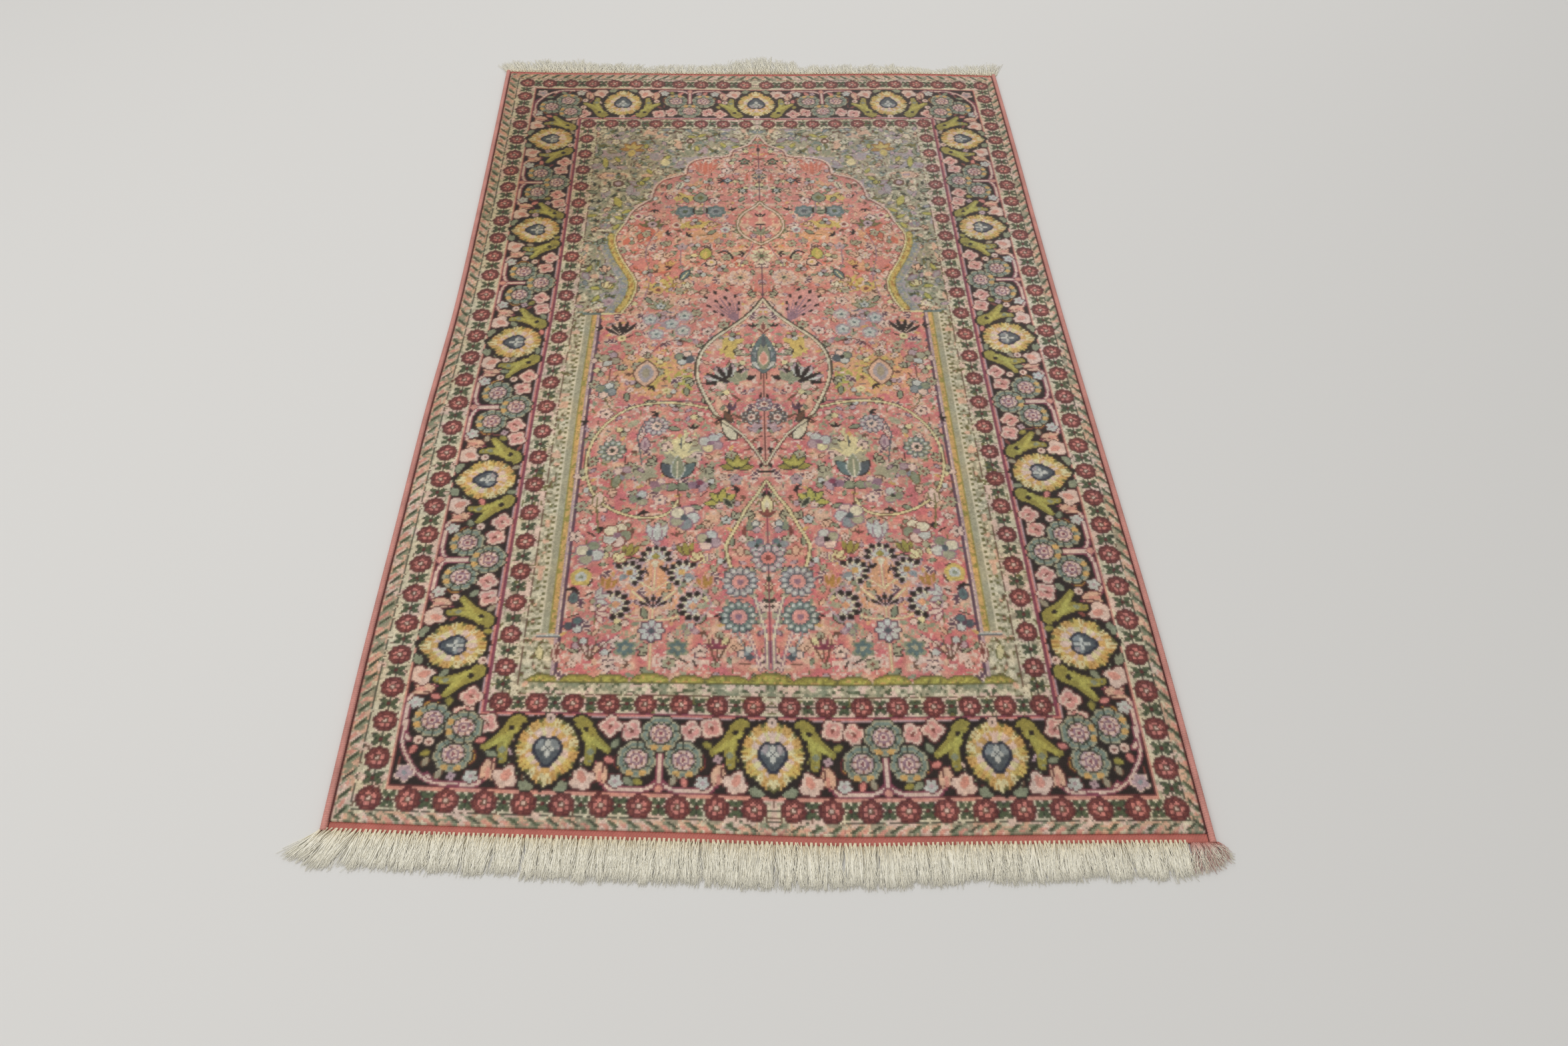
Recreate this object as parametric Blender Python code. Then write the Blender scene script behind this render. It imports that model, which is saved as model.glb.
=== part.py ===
"""Silk pile prayer rug, laid out flat on the surface it rests on.

Frame: metres, +Z up, +Y towards the end with the arch, origin under the middle of the whole
piece. Sub-parts, each one closed solid that lies on z = 0:

    rug_body                        knotted pile on its woven ground
    selvedge_left, selvedge_right   overcast cords along the long sides
    end_web_front, end_web_back     flat woven bands past the last knots
    fringe_front, fringe_back       combs of knotted warp ends
    corner_tuft                     loose yarn at the end of the right cord
"""

import math
import random

import bmesh
import bpy

# Heights above the floor, metres
PILE_TOP = 0.0050
SELVEDGE_TOP = 0.0054
WEB_TOP = 0.0028
FRINGE_TOP = 0.0030
TUFT_TOP = 0.0032

# Widths across each edge finish, metres
SELVEDGE_WIDTH = 0.0060
WEB_WIDTH = 0.0070
HEADING_DEPTH = 0.0030
GAP = 0.0003

# The cloth's long sides: distance from the middle line at stations along the length
SIDE_ROWS = (
    # y        left      right
    (-0.5700, -0.3475, 0.3550),
    (-0.4000, -0.3490, 0.3570),
    (-0.2500, -0.3480, 0.3560),
    (-0.1000, -0.3470, 0.3540),
    (0.0500, -0.3430, 0.3525),
    (0.2000, -0.3440, 0.3525),
    (0.4000, -0.3475, 0.3535),
    (0.5600, -0.3510, 0.3530),
)

# The cloth's ends: where the web stops at stations across the width
END_ROWS = (
    # x        near      far
    (-0.3500, -0.5480, 0.5640),
    (-0.2700, -0.5530, 0.5600),
    (-0.1800, -0.5580, 0.5590),
    (-0.0600, -0.5640, 0.5560),
    (0.0500, -0.5700, 0.5550),
    (0.1600, -0.5715, 0.5565),
    (0.2500, -0.5725, 0.5560),
    (0.3550, -0.5745, 0.5500),
)

# The near fringe: how long its locks are and how far they lean, in degrees, towards +X
FRONT_FRINGE_ROWS = (
    # x        length   lean
    (-0.3500, 0.0335, -48.0),
    (-0.3200, 0.0325, -26.0),
    (-0.2700, 0.0310, -10.0),
    (-0.2000, 0.0320, -4.0),
    (-0.1000, 0.0350, -2.0),
    (0.0500, 0.0350, 1.0),
    (0.1500, 0.0330, -1.0),
    (0.2500, 0.0310, 1.0),
    (0.3550, 0.0300, 4.0),
)

# The far fringe, thinner and more ragged
BACK_FRINGE_ROWS = (
    # x        length   lean
    (-0.3500, 0.0380, -28.0),
    (-0.3000, 0.0385, -13.0),
    (-0.2450, 0.0400, -9.0),
    (-0.1900, 0.0300, -4.0),
    (-0.0700, 0.0290, -3.0),
    (0.0000, 0.0500, -2.0),
    (0.0300, 0.0480, 0.0),
    (0.0800, 0.0310, 2.0),
    (0.2000, 0.0330, 3.0),
    (0.2600, 0.0260, 2.0),
    (0.3100, 0.0270, 3.0),
    (0.3550, 0.0400, 10.0),
)

LOCK_PITCH = 0.0108
LOCK_FILL = 0.86
LOCK_STEPS = ((0.45, 1.00), (0.80, 0.86), (1.00, 0.52))
LENGTH_SPREAD = 0.0014
FRONT_SEED = 11
BACK_SEED = 23

# The tuft of loose yarn past the right cord
TUFT_ROOT_LEFT = 0.3345
TUFT_ROOT_RIGHT = 0.3560
TUFT_SPACING = 0.0030
TUFT_LOCKS = 5
TUFT_LENGTHS = (0.0240, 0.0270, 0.0245, 0.0215, 0.0160)
TUFT_LEANS = (-4.0, 7.0, 16.0, 26.0, 40.0)

# How finely each solid follows its edges: the body and the webs share their stations across
ACROSS_CELLS = 24
ALONG_CELLS = 14
CORD_SIDES = 10

# The cord's round section swells by this much before its crown and its foot are cut flat
CORD_FLATNESS = 1.12

SILK_ROSE = (0.52, 0.30, 0.24)
CORD_RED = (0.60, 0.17, 0.13)
WEB_RED = (0.58, 0.16, 0.13)
COTTON = (0.72, 0.66, 0.50)
YARN_PINK = (0.60, 0.48, 0.42)


def clear_scene():
    """Empty the scene this script starts in."""
    for item in list(bpy.data.objects):
        bpy.data.objects.remove(item, do_unlink=True)


def finish(name, colour, roughness):
    """Return a plain Principled material for one sub-part."""
    material = bpy.data.materials.new(name)
    material.use_nodes = True
    shader = material.node_tree.nodes["Principled BSDF"]
    shader.inputs["Base Color"].default_value = (*colour, 1.0)
    shader.inputs["Roughness"].default_value = roughness
    shader.inputs["Metallic"].default_value = 0.0
    return material


def curve_through(rows, column):
    """Return a smooth function of the first column through one other column's values."""
    stations = [row[0] for row in rows]
    values = [row[column] for row in rows]
    last = len(rows) - 1

    def slope(index):
        low, high = max(index - 1, 0), min(index + 1, last)
        return (values[high] - values[low]) / (stations[high] - stations[low])

    def value(station):
        station = min(max(station, stations[0]), stations[-1])
        index = 0
        while index < last - 1 and station > stations[index + 1]:
            index += 1
        span = stations[index + 1] - stations[index]
        t = (station - stations[index]) / span
        start, end = slope(index) * span, slope(index + 1) * span
        return ((2 * t ** 3 - 3 * t ** 2 + 1) * values[index] + (t ** 3 - 2 * t ** 2 + t) * start
                + (3 * t ** 2 - 2 * t ** 3) * values[index + 1] + (t ** 3 - t ** 2) * end)

    return value


left_side = curve_through(SIDE_ROWS, 1)
right_side = curve_through(SIDE_ROWS, 2)
near_end = curve_through(END_ROWS, 1)
far_end = curve_through(END_ROWS, 2)


def raise_to(bm, height):
    """Extrude a flat sheet of faces on z = 0 up into a closed slab."""
    grown = bmesh.ops.extrude_face_region(bm, geom=list(bm.faces))["geom"]
    top = [item for item in grown if isinstance(item, bmesh.types.BMVert)]
    bmesh.ops.translate(bm, verts=top, vec=(0.0, 0.0, height))
    bmesh.ops.recalc_face_normals(bm, faces=list(bm.faces))


def add_object(name, bm, material):
    """Turn a bmesh into the named sub-part."""
    mesh = bpy.data.meshes.new(name)
    bm.to_mesh(mesh)
    bm.free()
    mesh.materials.append(material)
    part = bpy.data.objects.new(name, mesh)
    bpy.context.scene.collection.objects.link(part)
    return part


def slab(name, material, height, rows, near, far):
    """Make a slab that fills the width between the selvedges, from one end curve to another."""
    bm = bmesh.new()
    inset = SELVEDGE_WIDTH + GAP
    bmesh.ops.create_grid(bm, x_segments=ACROSS_CELLS, y_segments=rows, size=0.5)
    for vert in bm.verts:
        across, along = vert.co.x + 0.5, vert.co.y + 0.5
        y = near(0.0) * (1.0 - along) + far(0.0) * along
        for _ in range(3):
            low, high = left_side(y) + inset, right_side(y) - inset
            x = low + (high - low) * across
            y = near(x) * (1.0 - along) + far(x) * along
        vert.co = (x, y, 0.0)
    raise_to(bm, height)
    return add_object(name, bm, material)


def selvedge(name, material, side, inward):
    """Make the round overcast cord along one long side, flat where it rests."""
    bm = bmesh.new()
    ring = bmesh.ops.create_circle(bm, segments=CORD_SIDES, radius=0.5, cap_ends=True)["verts"]
    first, last = side(SIDE_ROWS[0][0]), side(SIDE_ROWS[-1][0])
    start = max(near_end(first), near_end(first + inward * SELVEDGE_WIDTH))
    stop = min(far_end(last), far_end(last + inward * SELVEDGE_WIDTH))
    for vert in ring:
        sideways, upward = vert.co.x, vert.co.y
        middle = side(start) + inward * SELVEDGE_WIDTH / 2
        rise = min(max(0.5 + upward * CORD_FLATNESS, 0.0), 1.0) * SELVEDGE_TOP
        vert.co = (middle + sideways * SELVEDGE_WIDTH, start, rise)
    bm.faces.ensure_lookup_table()
    face = bm.faces[0]
    here = start
    for step in range(1, ALONG_CELLS + 1):
        there = start + (stop - start) * step / ALONG_CELLS
        grown = bmesh.ops.extrude_face_region(bm, geom=[face])["geom"]
        if step > 1:
            bmesh.ops.delete(bm, geom=[face], context="FACES_ONLY")
        moved = [item for item in grown if isinstance(item, bmesh.types.BMVert)]
        bmesh.ops.translate(bm, verts=moved, vec=(side(there) - side(here), there - here, 0.0))
        face = next(item for item in grown if isinstance(item, bmesh.types.BMFace))
        here = there
    bmesh.ops.recalc_face_normals(bm, faces=list(bm.faces))
    return add_object(name, bm, material)


def comb(name, material, height, roots, edge, outward, locks):
    """Make a fringe: a narrow heading along an edge, with tapered locks that stand out of it.

    roots holds each lock's two root places along x, outward is -1 for the near end and +1 for
    the far one, and locks holds each lock's (length, lean in degrees).
    """
    bm = bmesh.new()
    count = 2 * len(roots) - 1
    bmesh.ops.create_grid(bm, x_segments=count, y_segments=1, size=0.5)
    places = [place for pair in roots for place in pair]
    outer = {vert for vert in bm.verts if vert.co.y < 0.0}
    for vert in bm.verts:
        x = places[round((vert.co.x + 0.5) * count)]
        reach = GAP + (HEADING_DEPTH if vert in outer else 0.0)
        vert.co = (x, edge(x) + outward * reach, 0.0)
    rim = [item for item in bm.edges if outer.issuperset(item.verts)]
    rim.sort(key=lambda item: item.verts[0].co.x + item.verts[1].co.x)
    for lock_edge, (low, high), (length, lean) in zip(rim[::2], roots, locks):
        grow_lock(bm, lock_edge, (low + high) / 2, (high - low) / 2, edge, outward, length, lean)
    raise_to(bm, height)
    return add_object(name, bm, material)


def grow_lock(bm, lock_edge, middle, half, edge, outward, length, lean):
    """Extrude one lock out of the heading in steps that taper to its tip."""
    angle = math.radians(lean)
    base = edge(middle) + outward * (GAP + HEADING_DEPTH)
    current = lock_edge
    for part, width in LOCK_STEPS:
        grown = bmesh.ops.extrude_edge_only(bm, edges=[current])["geom"]
        fresh = {item for item in grown if isinstance(item, bmesh.types.BMVert)}
        current = next(item for item in grown if isinstance(item, bmesh.types.BMEdge)
                       and fresh.issuperset(item.verts))
        reach = length * part
        x = middle + math.sin(angle) * reach
        y = base + outward * math.cos(angle) * reach
        low, high = sorted(current.verts, key=lambda vert: vert.co.x)
        for vert, across in ((low, -half * width), (high, half * width)):
            vert.co = (x + across * math.cos(angle),
                       y - outward * across * math.sin(angle), 0.0)


def fringe(name, material, rows, edge, outward, start, stop, seed):
    """Lay out the locks of one fringe along its end and make the comb."""
    length_at = curve_through(rows, 1)
    lean_at = curve_through(rows, 2)
    dice = random.Random(seed)
    count = round((stop - start) / LOCK_PITCH)
    pitch = (stop - start) / (count - 1 + LOCK_FILL)
    roots = [(start + pitch * i, start + pitch * (i + LOCK_FILL)) for i in range(count)]
    locks = [(length_at((low + high) / 2) - HEADING_DEPTH - GAP
              - LENGTH_SPREAD * dice.random(), lean_at((low + high) / 2))
             for low, high in roots]
    return comb(name, material, FRINGE_TOP, roots, edge, outward, locks)


def tuft(name, material):
    """Make the fan of loose yarn at the near end of the right cord."""
    span = TUFT_ROOT_RIGHT - TUFT_ROOT_LEFT
    pitch = span / (TUFT_LOCKS - 1 + LOCK_FILL)
    roots = [(TUFT_ROOT_LEFT + pitch * i, TUFT_ROOT_LEFT + pitch * (i + LOCK_FILL))
             for i in range(TUFT_LOCKS)]
    locks = list(zip(TUFT_LENGTHS, TUFT_LEANS))
    return comb(name, material, TUFT_TOP, roots, near_end, -1.0, locks)


def web(name, material, outer, inward):
    """Make the flat woven band between the selvedges at one end."""
    def inner(x):
        return outer(x) + inward * WEB_WIDTH

    near, far = (outer, inner) if inward > 0.0 else (inner, outer)
    return slab(name, material, WEB_TOP, 1, near, far)


def main():
    """Build the rug's sub-parts."""
    clear_scene()
    silk = finish("silk_pile", SILK_ROSE, 0.55)
    cord_red = finish("selvedge_red", CORD_RED, 0.75)
    web_red = finish("web_red", WEB_RED, 0.80)
    cotton = finish("fringe_cotton", COTTON, 0.90)
    pink = finish("tuft_yarn", YARN_PINK, 0.85)

    margin = WEB_WIDTH + GAP
    slab("rug_body", silk, PILE_TOP, ALONG_CELLS,
         lambda x: near_end(x) + margin, lambda x: far_end(x) - margin)
    selvedge("selvedge_left", cord_red, left_side, 1.0)
    selvedge("selvedge_right", cord_red, right_side, -1.0)
    web("end_web_front", web_red, near_end, 1.0)
    web("end_web_back", web_red, far_end, -1.0)

    fringe("fringe_front", cotton, FRONT_FRINGE_ROWS, near_end, -1.0,
           left_side(SIDE_ROWS[0][0]), TUFT_ROOT_LEFT - TUFT_SPACING, FRONT_SEED)
    fringe("fringe_back", cotton, BACK_FRINGE_ROWS, far_end, 1.0,
           left_side(SIDE_ROWS[-1][0]), right_side(SIDE_ROWS[-1][0]), BACK_SEED)
    tuft("corner_tuft", pink)


if __name__ == "__main__":
    main()
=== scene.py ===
"""Looks of a silk pile prayer rug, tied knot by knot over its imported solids.

The pile is charted the way a weaver's chart is: every knot of the cloth has a dye, and the
borders and the arched field are drawn on the chart with a few kinds of motif. The chart's
own lengths are millimetres from the middle of the design, x to the right and y towards the
arch. Meshes are in metres, in the rug's own frame.
"""

import logging
import math
from collections.abc import Callable, Iterator, Sequence
from dataclasses import dataclass, field, replace
from enum import IntEnum

import bmesh
import bpy
import numpy as np
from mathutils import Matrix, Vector

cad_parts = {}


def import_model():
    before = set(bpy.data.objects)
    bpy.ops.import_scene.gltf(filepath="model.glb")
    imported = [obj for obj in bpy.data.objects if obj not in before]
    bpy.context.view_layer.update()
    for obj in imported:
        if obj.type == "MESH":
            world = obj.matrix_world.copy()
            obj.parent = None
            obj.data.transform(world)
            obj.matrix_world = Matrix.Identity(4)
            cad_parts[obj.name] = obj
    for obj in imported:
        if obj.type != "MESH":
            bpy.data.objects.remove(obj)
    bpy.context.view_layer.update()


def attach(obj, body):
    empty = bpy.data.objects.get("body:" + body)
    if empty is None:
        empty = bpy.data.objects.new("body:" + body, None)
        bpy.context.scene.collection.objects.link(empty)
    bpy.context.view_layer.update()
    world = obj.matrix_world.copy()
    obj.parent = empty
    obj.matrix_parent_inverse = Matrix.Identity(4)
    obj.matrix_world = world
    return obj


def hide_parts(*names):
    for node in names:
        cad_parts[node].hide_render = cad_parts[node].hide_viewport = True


LOG = logging.getLogger("silk_rug")

# Where a range has no lower end
ANY = -math.inf

Array = np.ndarray
Colour = tuple[int, int, int]
Curve = Callable[[Array], Array]
Mesh = bpy.types.Mesh
Piece = bpy.types.Object
Point = tuple[float, float]
Socket = bpy.types.NodeSocket
Triple = tuple[float, float, float]


class Dye(IntEnum):
    """The dyed silks of the chart, each with its colour on the pile in even light, from 0 to 255."""

    colour: Colour

    def __new__(cls, *colour: int) -> "Dye":
        """Number the dyes in order and keep their colours.

        Args:
            colour: red, green and blue.

        Returns:
            The dye.
        """
        dye = int.__new__(cls, len(cls.__members__))
        dye._value_ = len(cls.__members__)
        dye.colour = colour
        return dye

    INK = 42, 33, 29
    NIGHT = 46, 48, 62
    MAROON = 92, 44, 44
    BRICK = 124, 68, 60
    WINE = 128, 60, 76
    ROSE = 204, 128, 117
    HOT_ROSE = 200, 112, 112
    SALMON = 208, 145, 127
    APRICOT = 212, 156, 116
    PEACH = 214, 172, 144
    SHELL = 218, 188, 170
    IVORY = 212, 200, 170
    CREAM = 216, 202, 152
    GOLD = 200, 174, 98
    HONEY = 204, 162, 98
    OCHRE = 168, 124, 62
    OLIVE = 148, 136, 66
    MOSS = 104, 100, 56
    LEAF = 78, 88, 62
    PINE = 52, 56, 44
    CELADON = 134, 138, 112
    SAGE = 164, 158, 130
    SLATE = 80, 86, 90
    TEAL = 92, 110, 108
    STEEL = 132, 138, 138
    PEARL = 190, 190, 180
    LILAC = 178, 150, 152
    MAUVE = 142, 108, 120
    PLUM = 90, 62, 76
    BROWN = 100, 70, 54
    STONE = 158, 146, 122
    LIME = 174, 166, 84
    EMBER = 196, 108, 86
    HAZE = 160, 150, 150
    STEEL_GREEN = 118, 132, 120
    ROSE_PINK = 208, 146, 136


(INK, NIGHT, MAROON, BRICK, WINE, ROSE, HOT_ROSE, SALMON, APRICOT, PEACH, SHELL, IVORY, CREAM, GOLD,
 HONEY, OCHRE, OLIVE, MOSS, LEAF, PINE, CELADON, SAGE, SLATE, TEAL, STEEL, PEARL, LILAC, MAUVE, PLUM,
 BROWN, STONE, LIME, EMBER, HAZE, STEEL_GREEN, ROSE_PINK) = Dye


def linear(colour: Sequence[float]) -> Array:
    """Turn display colours, from 0 to 255, into the linear light that shaders work in."""
    share = np.asarray(colour, float) / 255.0
    return np.where(share <= 0.04045, share / 12.92, ((share + 0.055) / 1.055) ** 2.4)


# The outline of the cloth


def curve_through(rows: Sequence[Sequence[float]], column: int) -> Curve:
    """Make a smooth function of a table's first column through one of its others.

    Args:
        rows: the table, one row for each station.
        column: which column to follow.

    Returns:
        A function of stations, which holds its end values past the table's ends.
    """
    stations = np.array([row[0] for row in rows], float)
    values = np.array([row[column] for row in rows], float)
    reach = np.arange(len(rows))
    low, high = np.maximum(reach - 1, 0), np.minimum(reach + 1, len(rows) - 1)
    slopes = (values[high] - values[low]) / (stations[high] - stations[low])

    def value(station: Array) -> Array:
        """Follow the curve.

        Args:
            station: where.

        Returns:
            Its values there.
        """
        place = np.clip(station, stations[0], stations[-1])
        index = np.clip(np.searchsorted(stations, place, side="left") - 1, 0, len(rows) - 2)
        span = stations[index + 1] - stations[index]
        t = (place - stations[index]) / span
        return ((2 * t**3 - 3 * t**2 + 1) * values[index] + (t**3 - 2 * t**2 + t) * slopes[index] * span
                + (3 * t**2 - 2 * t**3) * values[index + 1] + (t**3 - t**2) * slopes[index + 1] * span)

    return value


def ease(low: float, high: float, value: Array) -> Array:
    """Go smoothly from 0 at low to 1 at high."""
    t = np.clip((value - low) / (high - low), 0.0, 1.0)
    return t * t * (3.0 - 2.0 * t)


@dataclass(frozen=True)
class Outline:
    """The uneven outline of the cloth and of its solids, in metres.

    The straight-sided plan is what the chart is drawn on. The real sides wander a few
    millimetres from it, and the near end slants, which the cloth takes up within a hand's
    width of that end.
    """

    # y, then where the left and the right side run
    side_rows: tuple[tuple[float, ...], ...] = (
        (-0.57, -0.3475, 0.355), (-0.4, -0.349, 0.357), (-0.25, -0.348, 0.356), (-0.1, -0.347, 0.354),
        (0.05, -0.343, 0.3525), (0.2, -0.344, 0.3525), (0.4, -0.3475, 0.3535), (0.56, -0.351, 0.353),
    )
    # x, then where the cloth stops at the near and at the far end
    end_rows: tuple[tuple[float, ...], ...] = (
        (-0.35, -0.548, 0.564), (-0.27, -0.553, 0.56), (-0.18, -0.558, 0.559), (-0.06, -0.564, 0.556),
        (0.05, -0.57, 0.555), (0.16, -0.5715, 0.5565), (0.25, -0.5725, 0.556), (0.355, -0.5745, 0.55),
    )
    plan_left: float = -0.3480
    plan_right: float = 0.3545
    plan_near: float = -0.5648
    plan_far: float = 0.5566
    selvedge_width: float = 0.0060
    web_width: float = 0.0070
    gap: float = 0.0003
    slant_from: float = 0.040
    slant_to: float = 0.300

    def left(self, y: Array) -> Array:
        """Return where the left side runs at y."""
        return curve_through(self.side_rows, 1)(y)

    def right(self, y: Array) -> Array:
        """Return where the right side runs at y."""
        return curve_through(self.side_rows, 2)(y)

    def near(self, x: Array) -> Array:
        """Return where the near end runs at x."""
        return curve_through(self.end_rows, 1)(x)

    def far(self, x: Array) -> Array:
        """Return where the far end runs at x."""
        return curve_through(self.end_rows, 2)(x)

    def settle(self, x: Array, y: Array) -> tuple[Array, Array]:
        """Move places of the straight-sided plan to where they lie on the real cloth.

        Args:
            x: places across the plan.
            y: places along it.

        Returns:
            The places across and along the cloth.
        """
        share = (x - self.plan_left) / (self.plan_right - self.plan_left)
        from_near = 1.0 - ease(self.slant_from, self.slant_to, y - self.plan_near)
        from_far = 1.0 - ease(self.slant_from, self.slant_to, self.plan_far - y)
        real_x, real_y = x, y
        for _ in range(3):
            left, right = self.left(real_y), self.right(real_y)
            real_x = left + (right - left) * share
            real_y = (y + (self.near(real_x) - self.plan_near) * from_near
                      + (self.far(real_x) - self.plan_far) * from_far)
        return real_x, real_y


# The chart and the motifs that are drawn on it


@dataclass
class Patch:
    """A window of the chart, seen from a motif's own middle and direction."""

    knots: Array
    u: Array
    v: Array

    def lay(self, where: Array, dye: Dye) -> None:
        """Tie one dye wherever the mask says."""
        self.knots[where] = dye

    def turned(self, angle: float, ahead: float = 0.0) -> "Patch":
        """See the same window after a turn, from a place some way ahead.

        Args:
            angle: the turn, in degrees, anticlockwise.
            ahead: how far ahead the new middle lies.

        Returns:
            The window with its new axes.
        """
        turn = math.radians(angle)
        cos, sin = math.cos(turn), math.sin(turn)
        return Patch(self.knots, self.u * cos + self.v * sin - ahead, self.v * cos - self.u * sin)

    def moved(self, ahead: float, aside: float) -> "Patch":
        """See the same window from another middle."""
        return Patch(self.knots, self.u - ahead, self.v - aside)


def smooth_line(points: Sequence[Point]) -> Array:
    """Round a line through its points, with seven bits to a span.

    Args:
        points: the places that the line passes.

    Returns:
        The line as rows of x and y.
    """
    fixed = np.array(points, float)
    if len(fixed) < 3:
        return fixed
    padded = np.vstack([2 * fixed[0] - fixed[1], fixed, 2 * fixed[-1] - fixed[-2]])
    t = np.arange(7)[:, None] / 7
    spans = []
    for a, b, c, d in zip(padded, padded[1:], padded[2:], padded[3:]):
        spans.append(0.5 * (2 * b + (c - a) * t + (2 * a - 5 * b + 4 * c - d) * t**2
                            + (3 * b - a - 3 * c + d) * t**3))
    return np.vstack([*spans, fixed[-1:]])


def distance_to(line: Array, u: Array, v: Array) -> Array:
    """Measure how far places are from a line of straight bits.

    Args:
        line: the line's rows of x and y.
        u: the places' first coordinate.
        v: their second one.

    Returns:
        The distances.
    """
    best = np.full(u.shape, np.inf)
    for (ax, ay), (bx, by) in zip(line, line[1:]):
        dx, dy = bx - ax, by - ay
        t = np.clip(((u - ax) * dx + (v - ay) * dy) / max(dx * dx + dy * dy, 1e-9), 0.0, 1.0)
        np.minimum(best, np.hypot(u - ax - t * dx, v - ay - t * dy), out=best)
    return best


def inside(line: Array, u: Array, v: Array) -> Array:
    """Find which places lie inside a closed line.

    Args:
        line: the line's rows of x and y.
        u: the places' first coordinate.
        v: their second one.

    Returns:
        The mask.
    """
    odd = np.zeros(u.shape, bool)
    for (ax, ay), (bx, by) in zip(line, np.roll(line, -1, axis=0)):
        if ay == by:
            continue
        crosses = (ay > v) != (by > v)
        odd ^= crosses & (u < ax + (v - ay) * (bx - ax) / (by - ay))
    return odd


class Chart:
    """The whole cloth's knots, as one dye each."""

    def __init__(self, left: float, right: float, near: float, far: float, pitch: float) -> None:
        """Set out the chart.

        Args:
            left: where the knots stop on the left of the design's middle line, below zero.
            right: where they stop on its right.
            near: where they start along the length, below zero.
            far: where they stop.
            pitch: how far apart the knots are.
        """
        self.columns = round((right - left) / pitch)
        self.rows = round((far - near) / pitch)
        self.x = left + (np.arange(self.columns) + 0.5) * (right - left) / self.columns
        self.y = near + (np.arange(self.rows) + 0.5) * (far - near) / self.rows
        self.knots = np.full((self.rows, self.columns), ROSE, np.uint8)
        self.across, self.along = np.meshgrid(self.x, self.y)
        self.off = np.abs(self.across)

    def patches(self, x: float, y: float, reach: float, turn: float = 0) -> Iterator[Patch]:
        """Open the window round a place and the window round its mirror image.

        Args:
            x: how far the place is from the middle line.
            y: its place along the length.
            reach: how far the window goes each way.
            turn: the direction that the motif faces, in degrees from the right.

        Yields:
            The windows, with the mirrored one seen in a mirror.
        """
        rows = slice(*np.searchsorted(self.y, (y - reach, y + reach)))
        for mirror in (1, -1):
            middle = mirror * x
            columns = slice(*np.searchsorted(self.x, (middle - reach, middle + reach)))
            if rows.start < rows.stop and columns.start < columns.stop:
                u = self.across[rows, columns] * mirror - x
                v = self.along[rows, columns] - y
                if abs(x) < reach:
                    u = self.off[rows, columns] - x
                yield Patch(self.knots[rows, columns], u, v).turned(turn)

    def place(self, motif: "Motif", x: float, y: float, turn: float = 90) -> None:
        """Draw a motif and its mirror image, facing along its turn, in degrees from the right."""
        for patch in self.patches(x, y, motif.reach, turn):
            motif.draw(patch)

    def draw(self, rows: Sequence[tuple]) -> None:
        """Draw motifs and lines in order, each given by what place() or stroke() takes."""
        for row in rows:
            (self.place if isinstance(row[0], Motif) else self.stroke)(*row)

    def stroke(self, points: Sequence[Point], width: float, dye: Dye,
               edge: Dye | None = None, rim: float = 1.3) -> None:
        """Draw a line and its mirror image, with an outline if one is asked for.

        Args:
            points: the places that the line passes.
            width: how wide it is.
            dye: its dye.
            edge: the dye of its outline.
            rim: how wide the outline is on each side.
        """
        line = smooth_line(points)
        middle = (line.min(0) + line.max(0)) / 2
        reach = float((line.max(0) - line.min(0)).max()) / 2 + width + rim
        for patch in self.patches(middle[0], middle[1], reach):
            far_off = distance_to(line - middle, patch.u, patch.v)
            if edge is not None:
                patch.lay(far_off < width / 2 + rim, edge)
            patch.lay(far_off < width / 2, dye)

    def region(self, points: Sequence[Point]) -> Array:
        """Return a mask of the knots inside a closed outline or inside its mirror image."""
        return inside(np.array(points, float), self.off, self.along)

    def tie(self, where: Array | bool, rules: Sequence[tuple]) -> None:
        """Tie dyes over a part of the cloth, each where some measures of the knots are in a range.

        Args:
            where: the part, or True for all of it.
            rules: each a dye, and then for every measure its values, lowest and, if any, highest.
        """
        for dye, *ranges in rules:
            mask = np.full(self.knots.shape, where)
            for values, low, *high in ranges:
                mask &= (values >= low) & (values < (high[0] if high else math.inf))
            self.knots[mask] = dye

    def mottles(self, *kinds: tuple[float, int]) -> list[Array]:
        """Make several mottles, each by its scale and its seed."""
        return [self.mottle(*kind) for kind in kinds]

    def mottle(self, scale: float, seed: int, folded: bool = True) -> Array:
        """Make soft blotches over the whole chart.

        Args:
            scale: how far apart the blotches are.
            seed: which blotches.
            folded: whether the two halves mirror each other.

        Returns:
            Values from 0 to 1 for each knot.
        """
        x = (self.off if folded else self.across - self.x[0]) / scale
        y = (self.along - self.y[0]) / scale
        dice = np.random.default_rng(seed)
        grid = dice.random((int(y.max()) + 3, int(x.max()) + 3))
        column, row = x.astype(int), y.astype(int)
        s, t = ease(0, 1, x - column), ease(0, 1, y - row)
        return ((grid[row, column] * (1 - s) + grid[row, column + 1] * s) * (1 - t)
                + (grid[row + 1, column] * (1 - s) + grid[row + 1, column + 1] * s) * t)


class Motif:
    """Anything that can be drawn on a patch of the chart."""

    reach: float

    def draw(self, patch: Patch) -> None:
        """Tie the motif's knots."""
        raise NotImplementedError


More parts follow.
